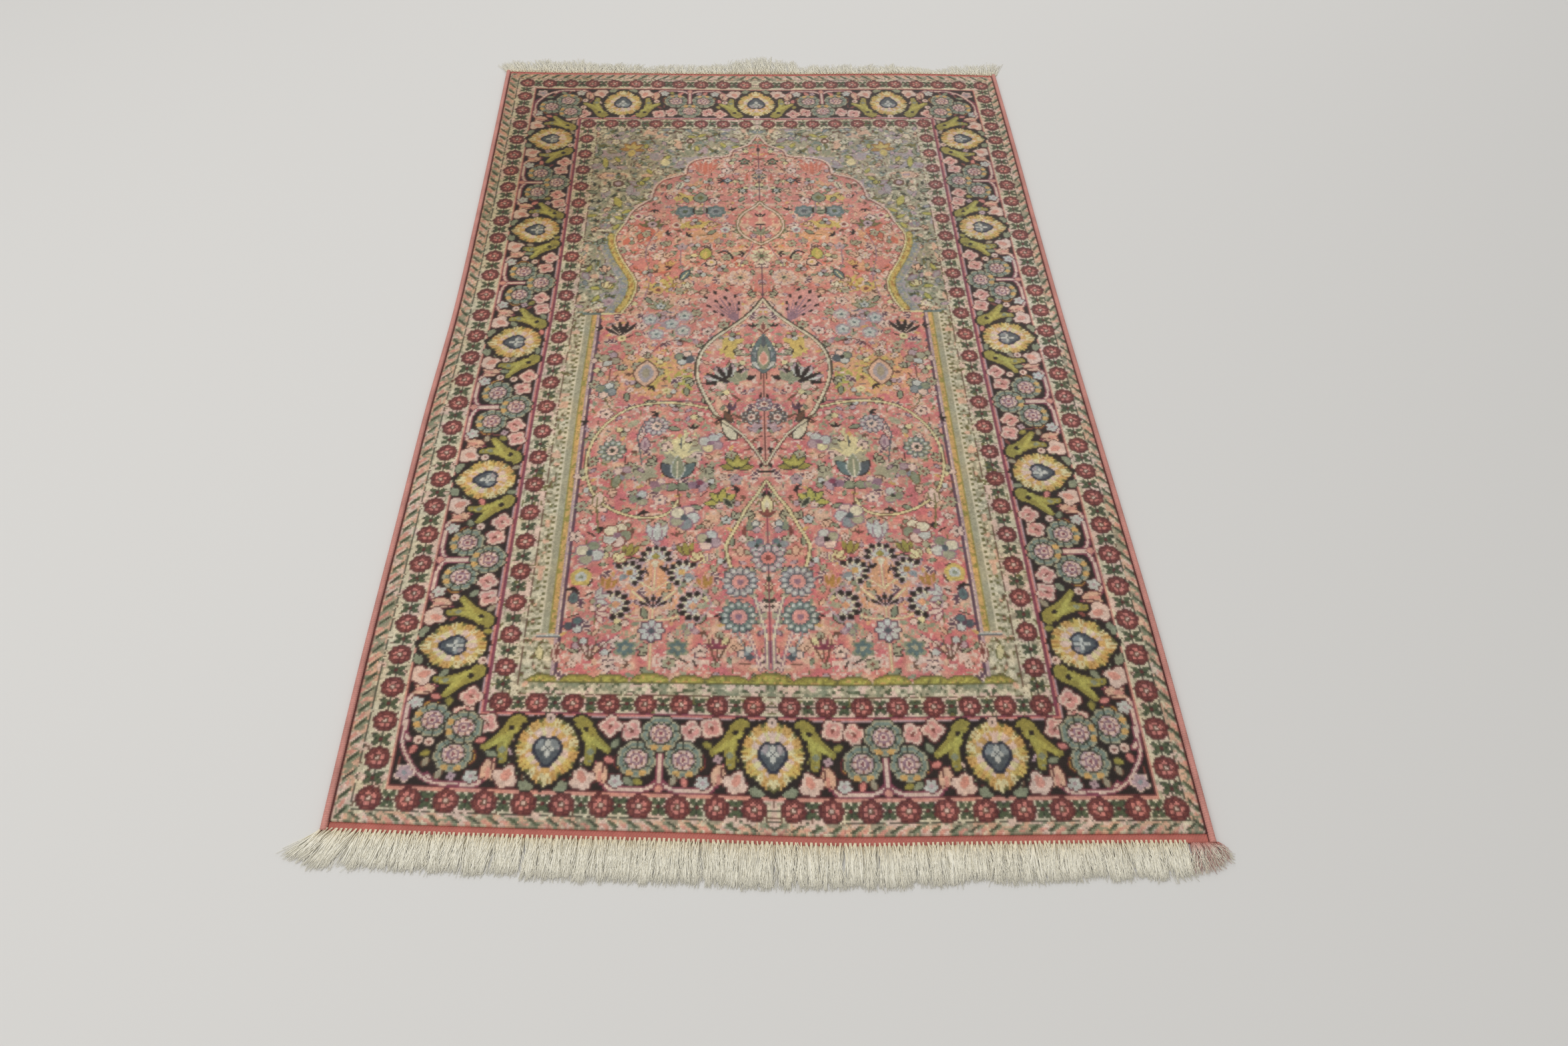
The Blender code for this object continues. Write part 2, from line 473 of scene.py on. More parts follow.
@dataclass(frozen=True)
class Bloom(Motif):
    """A round flower: rings of dye inside a scalloped rim."""

    radius: float
    petals: int
    rings: tuple[tuple[float, Dye], ...]
    notch: float = 0.14
    split: Dye | None = None
    split_from: float = 0.45
    split_width: float = 1.2
    dots: Dye | None = None
    dots_at: float = 0.42
    phase: float = 0

    @property
    def reach(self) -> float:
        """Return how far the flower goes from its middle."""
        return self.radius + 2

    def draw(self, patch: Patch) -> None:
        """Tie the flower.

        Args:
            patch: the window to tie it in.
        """
        r = np.hypot(patch.u, patch.v)
        a = np.arctan2(patch.v, patch.u) + self.phase
        rim = self.radius * (1 - self.notch * (1 - np.abs(np.cos(self.petals * a / 2))))
        share = r / rim
        for reach, dye in self.rings:
            patch.lay(share <= reach, dye)
        step = 2 * math.pi / self.petals
        if self.split is not None:
            off = np.abs((a / step) % 1 - 0.5) * step
            patch.lay((off * r < self.split_width / 2) & (share > self.split_from) & (share < 1),
                      self.split)
        if self.dots is not None:
            off = np.abs((a / step + 0.5) % 1 - 0.5) * step
            spot = np.hypot(off * r, r - self.dots_at * self.radius)
            patch.lay(spot < 0.085 * self.radius + 0.35, self.dots)


@dataclass(frozen=True)
class Leaf(Motif):
    """A pointed leaf that starts at its stalk and faces along its own direction."""

    length: float
    width: float
    body: Dye
    edge: Dye | None = None
    vein: Dye | None = None
    fullest: float = 0.45
    rim: float = 1.2
    start: float = 0

    @property
    def reach(self) -> float:
        """Return how far the leaf goes from its stalk."""
        return self.start + self.length + self.width / 2 + 2

    def centred(self) -> "Leaf":
        """Return the same leaf with its middle where its stalk was."""
        return replace(self, start=-self.length / 2)

    def draw(self, patch: Patch) -> None:
        """Tie the leaf.

        Args:
            patch: the window to tie it in.
        """
        u = patch.u - self.start
        if self.edge is not None:
            rim = self.rim
            patch.lay(self.blade(u + rim, patch.v, self.length + 2 * rim, self.width + 2 * rim), self.edge)
        body = self.blade(u, patch.v, self.length, self.width)
        patch.lay(body, self.body)
        if self.vein is not None:
            patch.lay(body & (np.abs(patch.v) < 0.75) & (u < 0.8 * self.length), self.vein)

    def blade(self, u: Array, v: Array, length: float, width: float) -> Array:
        """Find which places lie on a blade of a given length and width.

        Args:
            u: how far ahead of the stalk they are.
            v: how far aside.
            length: the length.
            width: the width.

        Returns:
            The mask.
        """
        share = np.clip(u / length, 0, 1)
        bend = math.log(0.5) / math.log(self.fullest)
        return (u > 0) & (u < length) & (np.abs(v) < width / 2 * np.sin(math.pi * share**bend) ** 0.8)


@dataclass(frozen=True)
class Fan(Motif):
    """Several leaves that open from one place."""

    leaf: Leaf
    count: int
    spread: float
    taper: float = 1

    @property
    def reach(self) -> float:
        """Return how far the fan goes from its middle."""
        return self.leaf.reach

    def draw(self, patch: Patch) -> None:
        """Tie the outer leaves first and the middle one last.

        Args:
            patch: the window to tie it in.
        """
        steps = np.linspace(-0.5, 0.5, self.count) if self.count > 1 else np.zeros(1)
        for step in sorted(steps, key=lambda value: -abs(value)):
            size = 1 - (1 - self.taper) * abs(step) * 2
            leaf = replace(self.leaf, length=self.leaf.length * size, width=self.leaf.width * size)
            leaf.draw(patch.turned(step * self.spread))


@dataclass(frozen=True)
class Cluster(Motif):
    """Motifs drawn together, each at its own place and turn about the cluster's middle."""

    # What each one is, then its place ahead and aside and its turn in degrees; zeros may be left out
    parts: tuple[tuple, ...]

    @property
    def reach(self) -> float:
        """Return how far the cluster goes from its middle."""
        return max(math.hypot(*place[:2]) + motif.reach for motif, *place in self.parts)

    def draw(self, patch: Patch) -> None:
        """Tie each motif in turn.

        Args:
            patch: the window to tie it in.
        """
        for motif, *place in self.parts:
            ahead, aside, turn = (*place, 0, 0, 0)[:3]
            motif.draw(patch.moved(ahead, aside).turned(turn))


@dataclass(frozen=True)
class Palmette(Motif):
    """A large serrated flower head with a heart in its middle; it points along its direction."""

    tip: float
    back: float
    half_width: float
    teeth: int = 34
    heart: float = 1
    rim_width: float = 4.6

    @property
    def reach(self) -> float:
        """Return how far the palmette goes from its middle."""
        return self.tip + 6

    def draw(self, patch: Patch) -> None:
        """Tie the outline, the streaked petals and the heart.

        Args:
            patch: the window to tie it in.
        """
        u, v = patch.u, patch.v
        r = np.hypot(u, v)
        a = np.arctan2(v, u)
        long_side = np.where(u > 0, self.tip, self.back)
        rim = 1 / np.maximum(np.hypot(np.cos(a) / long_side, np.sin(a) / self.half_width), 1e-6)
        rim = rim * (1 - 0.09 * np.exp(-((np.abs(a) - 0.55) / 0.28) ** 2))
        rim = rim * (1 + 0.07 * np.exp(-(a / 0.16) ** 2))
        tooth = np.abs((a * self.teeth / (2 * math.pi)) % 1 - 0.5) * 2
        petal = np.floor(a * self.teeth / (2 * math.pi)).astype(int)
        jag = self.rim_width * (0.55 + 0.45 * np.where(petal % 2 == 0, 1, 0.15))
        patch.lay(r < rim + jag, INK)
        rim = rim * (1 - 0.05 * (1 - tooth))
        body = r < rim
        shade = (np.sin(petal * 12.9898) * 43758.5453) % 1
        share = r / rim
        for where, dye in (
            (body, GOLD), (body & (shade > 0.62), HONEY), (body & (shade < 0.22), CREAM),
            (body & (tooth < 0.24) & (share > 0.8), OCHRE),
            (body & (share > 0.9) & (petal % 3 == 0), MOSS), (body & (share < 0.7), CREAM),
            (body & (share < 0.7) & (shade > 0.55), SHELL), (body & (share < 0.7) & (shade < 0.3), HONEY),
        ):
            patch.lay(where, dye)
        size = 11.6 * self.heart
        heart = size * (1 + 0.42 * np.exp(-(a / 0.42) ** 2)
                        - 0.22 * np.exp(-((np.abs(a) - math.pi) / 0.4) ** 2))
        patch.lay(r < heart + 1.2, NIGHT)
        patch.lay(r < heart - 1.6, SLATE)
        patch.lay((r < heart - 1.6) & (u < 0) & (np.abs(v) > 3), STEEL)
        cross = (np.hypot((np.abs(u) - 4.4) / 1.9, v) < 1.9) | (np.hypot(u, (np.abs(v) - 3.2) / 1.6) < 1.7)
        patch.lay(cross, PEARL)


@dataclass(frozen=True)
class Lily(Motif):
    """A cupped flower on a short stalk, opening along its direction."""

    size: float
    body: Dye = SALMON
    lip: Dye = SHELL
    leaf: Dye | None = CELADON

    @property
    def reach(self) -> float:
        """Return how far the lily goes from its middle."""
        return self.size * 1.3

    def draw(self, patch: Patch) -> None:
        """Tie the outline, the cup and its three lobes.

        Args:
            patch: the window to tie it in.
        """
        s = self.size
        if self.leaf is not None:
            for side in (-1, 1):
                Leaf(0.55 * s, 0.3 * s, self.leaf).draw(patch.moved(-0.55 * s, 0).turned(side * 70))
        for grown, dye in ((1.2, MAROON), (0, self.lip)):
            for aside, ahead, radius in ((0, 0.28, 0.3), (0.3, 0.12, 0.28), (-0.3, 0.12, 0.28)):
                patch.lay(np.hypot(patch.u - ahead * s, patch.v - aside * s) < radius * s + grown, dye)
            cup = np.abs(patch.v) < (0.5 + 0.55 * patch.u / s) * s * 0.75 + grown
            patch.lay(cup & (patch.u > -0.55 * s - grown) & (patch.u < 0.15 * s), dye)
        patch.lay(np.hypot((patch.u + 0.05 * s) / 1.5, patch.v) < 0.2 * s, self.body)


def ringed_rosette(radius: float = 15) -> Cluster:
    """Make the grey-green flower with a dotted disc that fills the border.

    Args:
        radius: its radius.

    Returns:
        The flower.
    """
    petals = Bloom(radius, 9, ((1.09, INK), (0.99, SAGE), (0.88, STEEL_GREEN), (0.7, SAGE),
                               (0.64, PINE), (0.55, LILAC)), notch=0.1, split=PINE, split_from=0.62)
    warm = Fan(Leaf(0.34 * radius, 0.42 * radius, HONEY, start=0.64 * radius), 2, 46)
    disc = Bloom(0.55 * radius, 7, ((0.86, SHELL), (0.58, MAUVE), (0.36, SHELL), (0.18, WINE)),
                 notch=0, dots=BRICK, dots_at=0.72)
    return Cluster(((petals,), (warm,), (disc,)))


def round_flower(radius: float, petal: Dye = STEEL, disc: Dye = SHELL, eye: Dye = BRICK,
                 petals: int = 11) -> Bloom:
    """Return a small field flower with dark-rimmed petals round a pale disc."""
    return Bloom(radius, petals, ((1.06, SLATE), (0.97, petal), (0.54, SLATE), (0.46, disc), (0.2, eye)),
                 notch=0.2, split=SLATE, split_from=0.52, split_width=1.2, dots=PEARL, dots_at=0.76)


def daisy(radius: float, petal: Dye = PEARL, eye: Dye = SLATE, edge: Dye = SLATE,
          petals: int = 5) -> Bloom:
    """Return a little open flower of a few pale petals."""
    return Bloom(radius, petals, ((1.12, edge), (0.95, petal), (0.3, eye)), notch=0.38)


# The borders


class Edge(IntEnum):
    """Which edge of the cloth a stretch of border runs along."""

    SIDE = 0
    NEAR = 1
    FAR = 2


@dataclass
class BorderDesign:
    """The guards, the dark main border and the lines between them."""

    chart: Chart
    half_width: float = 351
    left_half: float = 355
    right_half: float = 347.5
    near_edge: float = -562.8
    far_edge: float = 558.6
    # Depths from the cloth's edge where each band stops: as the sides have them, then as the
    # near and the far end do
    side_depths: tuple[float, ...] = (0, 7, 18, 29.5, 41, 44, 74, 106, 111, 121, 136, 160, 400)
    near_depths: tuple[float, ...] = (0, 7, 16, 26, 35, 38, 73, 104, 107, 115.5, 126, 141, 381)
    far_depths: tuple[float, ...] = (0, 7, 21, 33, 45, 48, 82, 117, 121, 131, 144, 168, 408)
    side_palmettes: tuple[float, ...] = (-389, -195, 1, 199, 391)
    end_palmettes: tuple[float, ...] = (0, 184.5)
    guard_pitch: float = 34.6
    end_guard_pitch: float = 30.5
    # How wide a strip along each long side is stretched to the cloth's own edge
    stretch_width: float = 43
    # How far midway between two palmettes is in the lists below, and how far a corner is
    half_stretch: float = 97
    corner_reach: float = 96
    blossom: Cluster = Cluster((
        (Bloom(10.6, 4, ((1.08, MAROON), (0.94, SHELL), (0.7, ROSE_PINK)), notch=0.3, phase=0.5),),
        (Leaf(8, 4.6, SHELL), -2), (Leaf(7, 2.6, BRICK), -4),
    ))

    def depths(self) -> tuple[Array, Array]:
        """Work out how deep each knot lies in the frame of borders.

        Returns:
            The depth in side units, and which edge each knot belongs to.
        """
        off = self.chart.off
        outer = np.where(self.chart.across < 0, self.left_half, self.right_half)
        stretch_from = self.half_width - self.stretch_width
        scaled = stretch_from + (off - stretch_from) * self.stretch_width / (outer - stretch_from)
        side = self.half_width - np.where(off > stretch_from, scaled, off)
        near = np.interp(self.chart.along - self.near_edge, self.near_depths, self.side_depths)
        far = np.interp(self.far_edge - self.chart.along, self.far_depths, self.side_depths)
        stack = np.stack([side, near, far])
        return stack.min(0), stack.argmin(0)

    def draw(self) -> None:
        """Tie the border from its outermost guard to its inner line."""
        self.draw_bands()
        self.draw_guards()
        self.draw_main_border()

    def draw_bands(self) -> None:
        """Tie the plain ground of every band, the barber-pole guard and the lines."""
        chart = self.chart
        depth, edge = self.depths()
        along = np.where(edge == Edge.SIDE, chart.along, chart.across)
        speck, cloud = chart.mottles((3, 5), (9, 6))
        chart.knots[depth < 8] = MAROON
        guard = (depth >= 7.8) & (depth < 18.2)
        slant = np.where(edge == Edge.SIDE, 1, -1)
        turn = ((along * np.sign(along + 1e-6) + slant * (depth - 13) * 1.15) / 15.6) % 1
        chart.tie(guard, (
            (SHELL,), (PEACH, (cloud, 0, 0.62)), (STONE, (cloud, 0, 0.34)), (IVORY, (speck, 0.8)),
            (SALMON, (turn, 0.52, 0.84), (depth, ANY, 13.6), (speck, 0.42)), (CELADON, (speck, 0, 0.16)),
            (CELADON, (turn, 0.26, 0.44), (speck, 0, 0.62)), (LEAF, (turn, 0, 0.26), (depth, 9, 17)),
            (PINE, (turn, 0.06, 0.2), (depth, 9, 16), (speck, 0.35)),
        ))
        outer_guard = (depth >= 18.2) & (depth < 41)
        chart.tie(outer_guard, (
            (IVORY,), (SHELL, (cloud, 0.66)), (SAGE, (speck, 0.78)), (BROWN, (speck, 0, 0.14)),
        ))
        chart.tie(True, (
            (PINE, (depth, 18.2, 19.8), (speck, 0.34)), (SALMON, (depth, 41, 42.6)),
            (MAROON, (depth, 42.6, 44.2)), (INK, (depth, 44.2, 106)), (LILAC, (depth, 106, 108.6)),
            (ROSE, (depth, 107.4, 108.8)), (WINE, (depth, 108.8, 111.2)),
        ))
        inner_guard = (depth >= 111.2) & (depth < 136.5)
        chart.tie(inner_guard, (
            (IVORY,), (SHELL, (cloud, 0.55)), (STONE, (speck, 0.66)), (MOSS, (speck, 0, 0.2)),
        ))
        chart.knots[(depth >= 133.6) & (depth < 136.5) & (speck > 0.4)] = BROWN

    def rosette(self, radius: float) -> Cluster:
        """Make the dark red flower of the guards.

        Args:
            radius: its radius.

        Returns:
            The flower.
        """
        outer = Bloom(radius, 9, ((1.05, MAROON), (0.84, BRICK)), notch=0.1, split=MAROON,
                      split_from=0.5, split_width=1.3)
        inner = Bloom(0.7 * radius, 5, ((1, MAROON), (0.82, ROSE), (0.44, BROWN), (0.22, SHELL)),
                      notch=0.2, split=MAROON, split_from=0.4, split_width=1.6)
        return Cluster(((outer,), (inner,)))

    def leaf_cross(self, size: float) -> Cluster:
        """Make the four green leaves that stand between two guard flowers.

        Args:
            size: a leaf's length.

        Returns:
            The leaves.
        """
        leaf = Leaf(size, size * 0.44, LEAF, PINE, fullest=0.62, rim=0.7)
        eye = Bloom(1.7, 1, ((1, MAROON),), notch=0)
        return Cluster((*((leaf, 0, 0, turn) for turn in (58, 122, 238, 302)), (eye,)))

    def draw_guards(self) -> None:
        """Tie the rows of small flowers and leaves in the two ivory guards."""
        rows = (
            # depth on the sides, the near and the far end, flower size and leaf size
            (29.8, 26.5, 33, 10.4, 8.6),
            (122.5, 116.5, 132, 9.6, 7.4),
        )
        for side_depth, near_depth, far_depth, size, leaf_size in rows:
            x = self.half_width - side_depth
            near, far = self.near_edge + near_depth, self.far_edge - far_depth
            self.chart.draw((
                (((x, near), (x, far)), 1.2, PINE), (((0, near), (x, near)), 1.2, PINE),
                (((0, far), (x, far)), 1.2, PINE),
            ))
            self.fill_row((x, near), (x, far), self.guard_pitch, size, leaf_size, 90, 0)
            for y in (near, far):
                self.fill_row((0, y), (x, y), self.end_guard_pitch, size, leaf_size, 0, 0.5)

    def fill_row(self, start: Point, stop: Point, pitch: float, size: float,
                 leaf_size: float, turn: float, first: float) -> None:
        """Tie one row of guard flowers with leaf crosses between them.

        Args:
            start: where the row starts.
            stop: where it stops, at the corner's flower.
            pitch: about how far apart the flowers are.
            size: a flower's radius.
            leaf_size: a leaf's length.
            turn: the row's direction in degrees.
            first: how far the first flower is from the start, in pitches.
        """
        length = math.dist(start, stop)
        count = round(length / pitch - first)
        step = length / (count + first)
        for index in range(count + 1):
            share = (index + first) * step / length
            x, y = (a + (b - a) * share for a, b in zip(start, stop))
            self.chart.place(self.rosette(size), x, y, turn)
            if index < count:
                share += 0.5 * step / length
                x, y = (a + (b - a) * share for a, b in zip(start, stop))
                self.chart.place(self.leaf_cross(leaf_size), x, y, turn)

    def draw_main_border(self) -> None:
        """Tie the palmettes, leaves, lilies and ringed flowers on the dark ground."""
        ends = self.side_palmettes
        stretches = [(Edge.SIDE, low, high) for low, high in zip(ends, ends[1:])]
        stretches += [(edge, *self.end_palmettes) for edge in (Edge.NEAR, Edge.FAR)]
        for edge, low, high in stretches:
            self.draw_half(edge, low, 1, (high - low) / 2)
            self.draw_half(edge, high, -1, (high - low) / 2)
            self.draw_meeting(edge, (low + high) / 2)
        self.draw_half(Edge.SIDE, ends[0], -1, self.corner_reach)
        self.draw_half(Edge.SIDE, ends[-1], 1, self.corner_reach)
        for edge in (Edge.NEAR, Edge.FAR):
            self.draw_half(edge, self.end_palmettes[1], 1, self.corner_reach)
            self.draw_corner(edge)
        for place in ends:
            self.chart.place(Palmette(30, 27.5, 25, heart=0.88), *self.at(Edge.SIDE, place, 76))
        self.fill_ground()
        for edge in (Edge.NEAR, Edge.FAR):
            for place in self.end_palmettes:
                self.chart.place(Palmette(31.5, 29, 26), *self.at(edge, place, 75))
                self.chart.place(Bloom(4.6, 5, ((1, SHELL), (0.32, INK))), *self.at(edge, place, 104))

    def fill_ground(self) -> None:
        """Tie small leaves and buds wherever the dark ground is still bare."""
        chart = self.chart
        dice = np.random.default_rng(17)
        depth, _ = self.depths()
        small = (
            Leaf(10, 5.6, CELADON, PINE, rim=0.7).centred(),
            Leaf(9, 5.4, ROSE, MAROON, rim=0.7).centred(), Leaf(9, 5, STONE, BROWN, rim=0.7).centred(),
            Leaf(8, 5, OLIVE, MOSS, rim=0.7).centred(), Bloom(4, 5, ((1, SHELL), (0.4, BRICK))),
            Bloom(3.6, 4, ((1, LILAC), (0.4, PLUM))), Leaf(9, 2.8, BRICK).centred(),
        )
        bare = (chart.knots == INK) & (depth > 47) & (depth < 103) & (chart.across > 0)
        for row, column in dice.permutation(np.argwhere(bare)):
            window = chart.knots[row - 2:row + 3, column - 2:column + 3]
            if np.all(window == INK):
                kind, turn = int(dice.integers(len(small))), dice.uniform(0, 360)
                chart.place(small[kind], chart.x[column], chart.y[row], turn)

    def at(self, edge: Edge, along: float, depth: float) -> Triple:
        """Find a place in the border.

        Args:
            edge: its edge.
            along: its place along that edge.
            depth: how deep it lies, in side units.

        Returns:
            Its x and y, and the direction that points outwards there, in degrees.
        """
        if edge == Edge.SIDE:
            return self.half_width - depth, along, 0
        if edge == Edge.NEAR:
            return along, self.near_edge + float(np.interp(depth, self.side_depths, self.near_depths)), 270
        return along, self.far_edge - float(np.interp(depth, self.side_depths, self.far_depths)), 90

    def path(self, edge: Edge, origin: float, way: float, points: Sequence[Point]) -> list[Point]:
        """Turn places along and into the border into places on the chart."""
        return [self.at(edge, origin + way * along, depth)[:2] for along, depth in points]

    def draw_half(self, edge: Edge, origin: float, way: float, half: float) -> None:
        """Tie what stands beside a palmette, as far as midway to the next one.

        Args:
            edge: the edge that it belongs to.
            origin: the palmette's place along it.
            way: +1 or -1, the side of the palmette.
            half: how far midway is.
        """
        squeeze = half / self.half_stretch

        def place(motif: Motif, along: float, depth: float, lean: float) -> None:
            """Draw one motif beside the palmette.

            Args:
                motif: what to draw.
                along: how far it is from the palmette.
                depth: how deep it lies.
                lean: its turn from outwards towards its side.
            """
            x, y, turn = self.at(edge, origin + way * along * squeeze, depth)
            hand = -way if edge == Edge.FAR else way
            self.chart.place(motif, x, y, turn + hand * lean)

        vine = self.path(edge, origin, way * squeeze,
                         ((49, 57), (53, 47.5), (62, 46), (80, 46), (90, 48), (96, 52)))
        self.chart.stroke(vine, 2.6, SHELL, WINE, 1.5)
        stalk = self.path(edge, origin, way * squeeze, ((40, 72), (43, 62), (49, 50)))
        self.chart.stroke(stalk, 1.6, SALMON, WINE)
        place(Fan(Leaf(19, 7, PEACH, MAROON), 2, 26), 46.5, 66, 0)
        place(Leaf(12, 4, SALMON), 46.5, 60, 0)
        place(Lily(18), 31.5, 53.5, 25)
        place(Leaf(13, 9, CELADON, INK), 20.5, 48.5, -70)
        for lean, along, depth in ((215, 71, 94), (150, 53, 97.6)):
            place(self.blossom, along, depth, lean)
        place(Leaf(17, 12, OCHRE, MAROON), 61, 72, 28)
        place(Leaf(9, 5, HONEY), 60.5, 70, 28)
        place(daisy(6.6, PEARL, LILAC, MAROON), 60, 52, 0)
        self.draw_forked_leaf(edge, origin, way * squeeze)
        place(ringed_rosette(16.4), 77, 68.5, 0)

    def draw_forked_leaf(self, edge: Edge, origin: float, way: float) -> None:
        """Tie the olive leaf that hugs a palmette: a round head with an eye and two prongs.

        Args:
            edge: the edge that it belongs to.
            origin: the palmette's place along it.
            way: the side of the palmette, times how much the stretch is squeezed.
        """
        prongs = (
            ((27, 98.5), (33, 92), (40, 84), (52, 75)), ((29, 97), (34, 88), (37, 76), (36, 65)),
        )
        for grown, dye in ((2.6, INK), (0, OLIVE)):
            for prong in prongs:
                line = smooth_line(self.path(edge, origin, way, prong))
                self.draw_taper(line, 15.5 + 2 * grown, 6 + 2 * grown, dye)
        for prong, wide, dye in ((((30, 92), (34, 84), (38, 70)), 7.5, LIME),
                                 (((38, 84), (44, 79), (50, 75.5)), 5.5, LIME),
                                 (((37, 73), (36.6, 66)), 5, CELADON)):
            self.draw_taper(smooth_line(self.path(edge, origin, way, prong)), wide, 2.6, dye)
        x, y, _ = self.at(edge, origin + way * 32, 94)
        self.chart.place(Bloom(2.6, 1, ((1, INK),), notch=0), x, y)

    def draw_taper(self, line: Array, wide: float, narrow: float, dye: Dye) -> None:
        """Tie a line that narrows evenly from its start to its end.

        Args:
            line: its rows of x and y.
            wide: its width at the start.
            narrow: its width at the end.
            dye: its dye.
        """
        middle = (line.min(0) + line.max(0)) / 2
        reach = float((line.max(0) - line.min(0)).max()) / 2 + wide
        for patch in self.chart.patches(middle[0], middle[1], reach):
            for index, (x, y) in enumerate(line - middle):
                width = wide + (narrow - wide) * index / (len(line) - 1)
                patch.lay(np.hypot(patch.u - x, patch.v - y) < width / 2, dye)

    def draw_meeting(self, edge: Edge, place: float) -> None:
        """Tie the short pink stem and the inner flower midway between two palmettes.

        Args:
            edge: the edge that they belong to.
            place: the middle, along that edge.
        """
        stem = self.path(edge, place, 1, ((0, 51), (0, 82)))
        self.chart.stroke(stem, 4, SHELL, WINE, 1.5)
        self.chart.place(Leaf(7, 7, SALMON, WINE), *self.at(edge, place, 50))
        self.chart.place(ringed_rosette(16.6), *self.at(edge, place, 91))

    def draw_corner(self, edge: Edge) -> None:
        """Tie the corner's shared flower, the vine round it and the blossom in its angle.

        Args:
            edge: the near or the far edge.
        """
        def place(motif: Motif, side_depth: float, end_depth: float, turn: float) -> None:
            """Draw a motif by its depth from the two edges."""
            self.chart.place(motif, self.half_width - side_depth, self.at(edge, 0, end_depth)[1], turn)

        place(ringed_rosette(16), 95.5, 93, 0)
        points = [(self.half_width - s, self.at(edge, 0, e)[1])
                  for s, e in ((47.5, 98), (47.5, 76), (56, 62), (66, 52), (80, 46.5), (98, 46.5))]
        self.chart.stroke(points, 2, SHELL, WINE)
        place(daisy(7.5, LILAC, STEEL, SHELL), 54, 53.5, 45)


# The arched field


def bud(length: float, width: float, body: Dye, heart: Dye, edge: Dye = PLUM) -> Cluster:
    """Make a closed bud that stands up from its own foot.

    Args:
        length: how long it is.
        width: how wide.
        body: its dye.
        heart: the dye of its heart.
        edge: the dye of its outline.

    Returns:
        The bud.
    """
    return Cluster((
        (Leaf(length, width, body, edge, fullest=0.42),),
        (Leaf(0.5 * length, 0.42 * width, heart, fullest=0.4), 0.22 * length),
    ))


def sprig(size: float, body: Dye, edge: Dye | None, count: int = 3, spread: float = 70) -> Fan:
    """Return a small fan of pointed leaves."""
    return Fan(Leaf(size, size * 0.42, body, edge, fullest=0.55, rim=1.1), count, spread, taper=0.85)


def crescent_lily(radius: float, heart: Dye, base: Dye) -> Cluster:
    """Make the lily with a half ring of black petals round its bright heart.

    Args:
        radius: its radius.
        heart: the dye of its heart.
        base: the dye of its base.

    Returns:
        The lily.
    """
    ring = Fan(Leaf(0.54 * radius, 0.42 * radius, INK, fullest=0.5, start=0.62 * radius), 7, 190)
    cup = Fan(Leaf(0.66 * radius, 0.3 * radius, PEARL, MAUVE, fullest=0.6, rim=0.7), 5, 150)
    return Cluster((
        (Fan(Leaf(1.26 * radius, 0.52 * radius, LILAC, fullest=0.7), 7, 196),),
        (Fan(Leaf(1.12 * radius, 0.46 * radius, IVORY, fullest=0.7), 7, 190),), (ring,), (cup,),
        (Bloom(0.26 * radius, 4, ((1, heart),), notch=0.2), 0.2 * radius),
        (Leaf(0.8 * radius, 0.44 * radius, base, fullest=0.3), -0.1 * radius, 0, 180),
    ))


def hand_sprig(size: float) -> Cluster:
    """Make the open hand of five black fingers with white between them.

    Args:
        size: how long the fingers are.

    Returns:
        The hand.
    """
    return Cluster((
        (Fan(Leaf(0.9 * size, 0.22 * size, SHELL, fullest=0.6), 6, 104),),
        (Fan(Leaf(1.15 * size, 0.24 * size, INK, fullest=0.62, start=1.5), 5, 88),),
        (Bloom(0.24 * size, 3, ((1, CREAM), (0.4, MOSS)), notch=0.2), -0.12 * size),
    ))


def posy(radius: float, petals: Sequence[Dye], heart: Dye = SLATE, edge: Dye = MAUVE) -> Cluster:
    """Make a loose ring of round petals, each of its own dye.

    Args:
        radius: the ring's radius.
        petals: the petals' dyes.
        heart: the dye in the middle.
        edge: the dye of the outlines.

    Returns:
        The ring.
    """
    parts = []
    step = 2 * math.pi / len(petals)
    for index, dye in enumerate(petals):
        ahead, aside = (0.56 * radius * f(step * index + 0.4) for f in (math.cos, math.sin))
        petal = Bloom(0.46 * radius, 1, ((1.14, edge), (0.92, dye)), notch=0)
        parts.append((petal, ahead, aside))
    parts.append((Bloom(0.26 * radius, 1, ((1, heart),), notch=0),))
    return Cluster(tuple(parts))


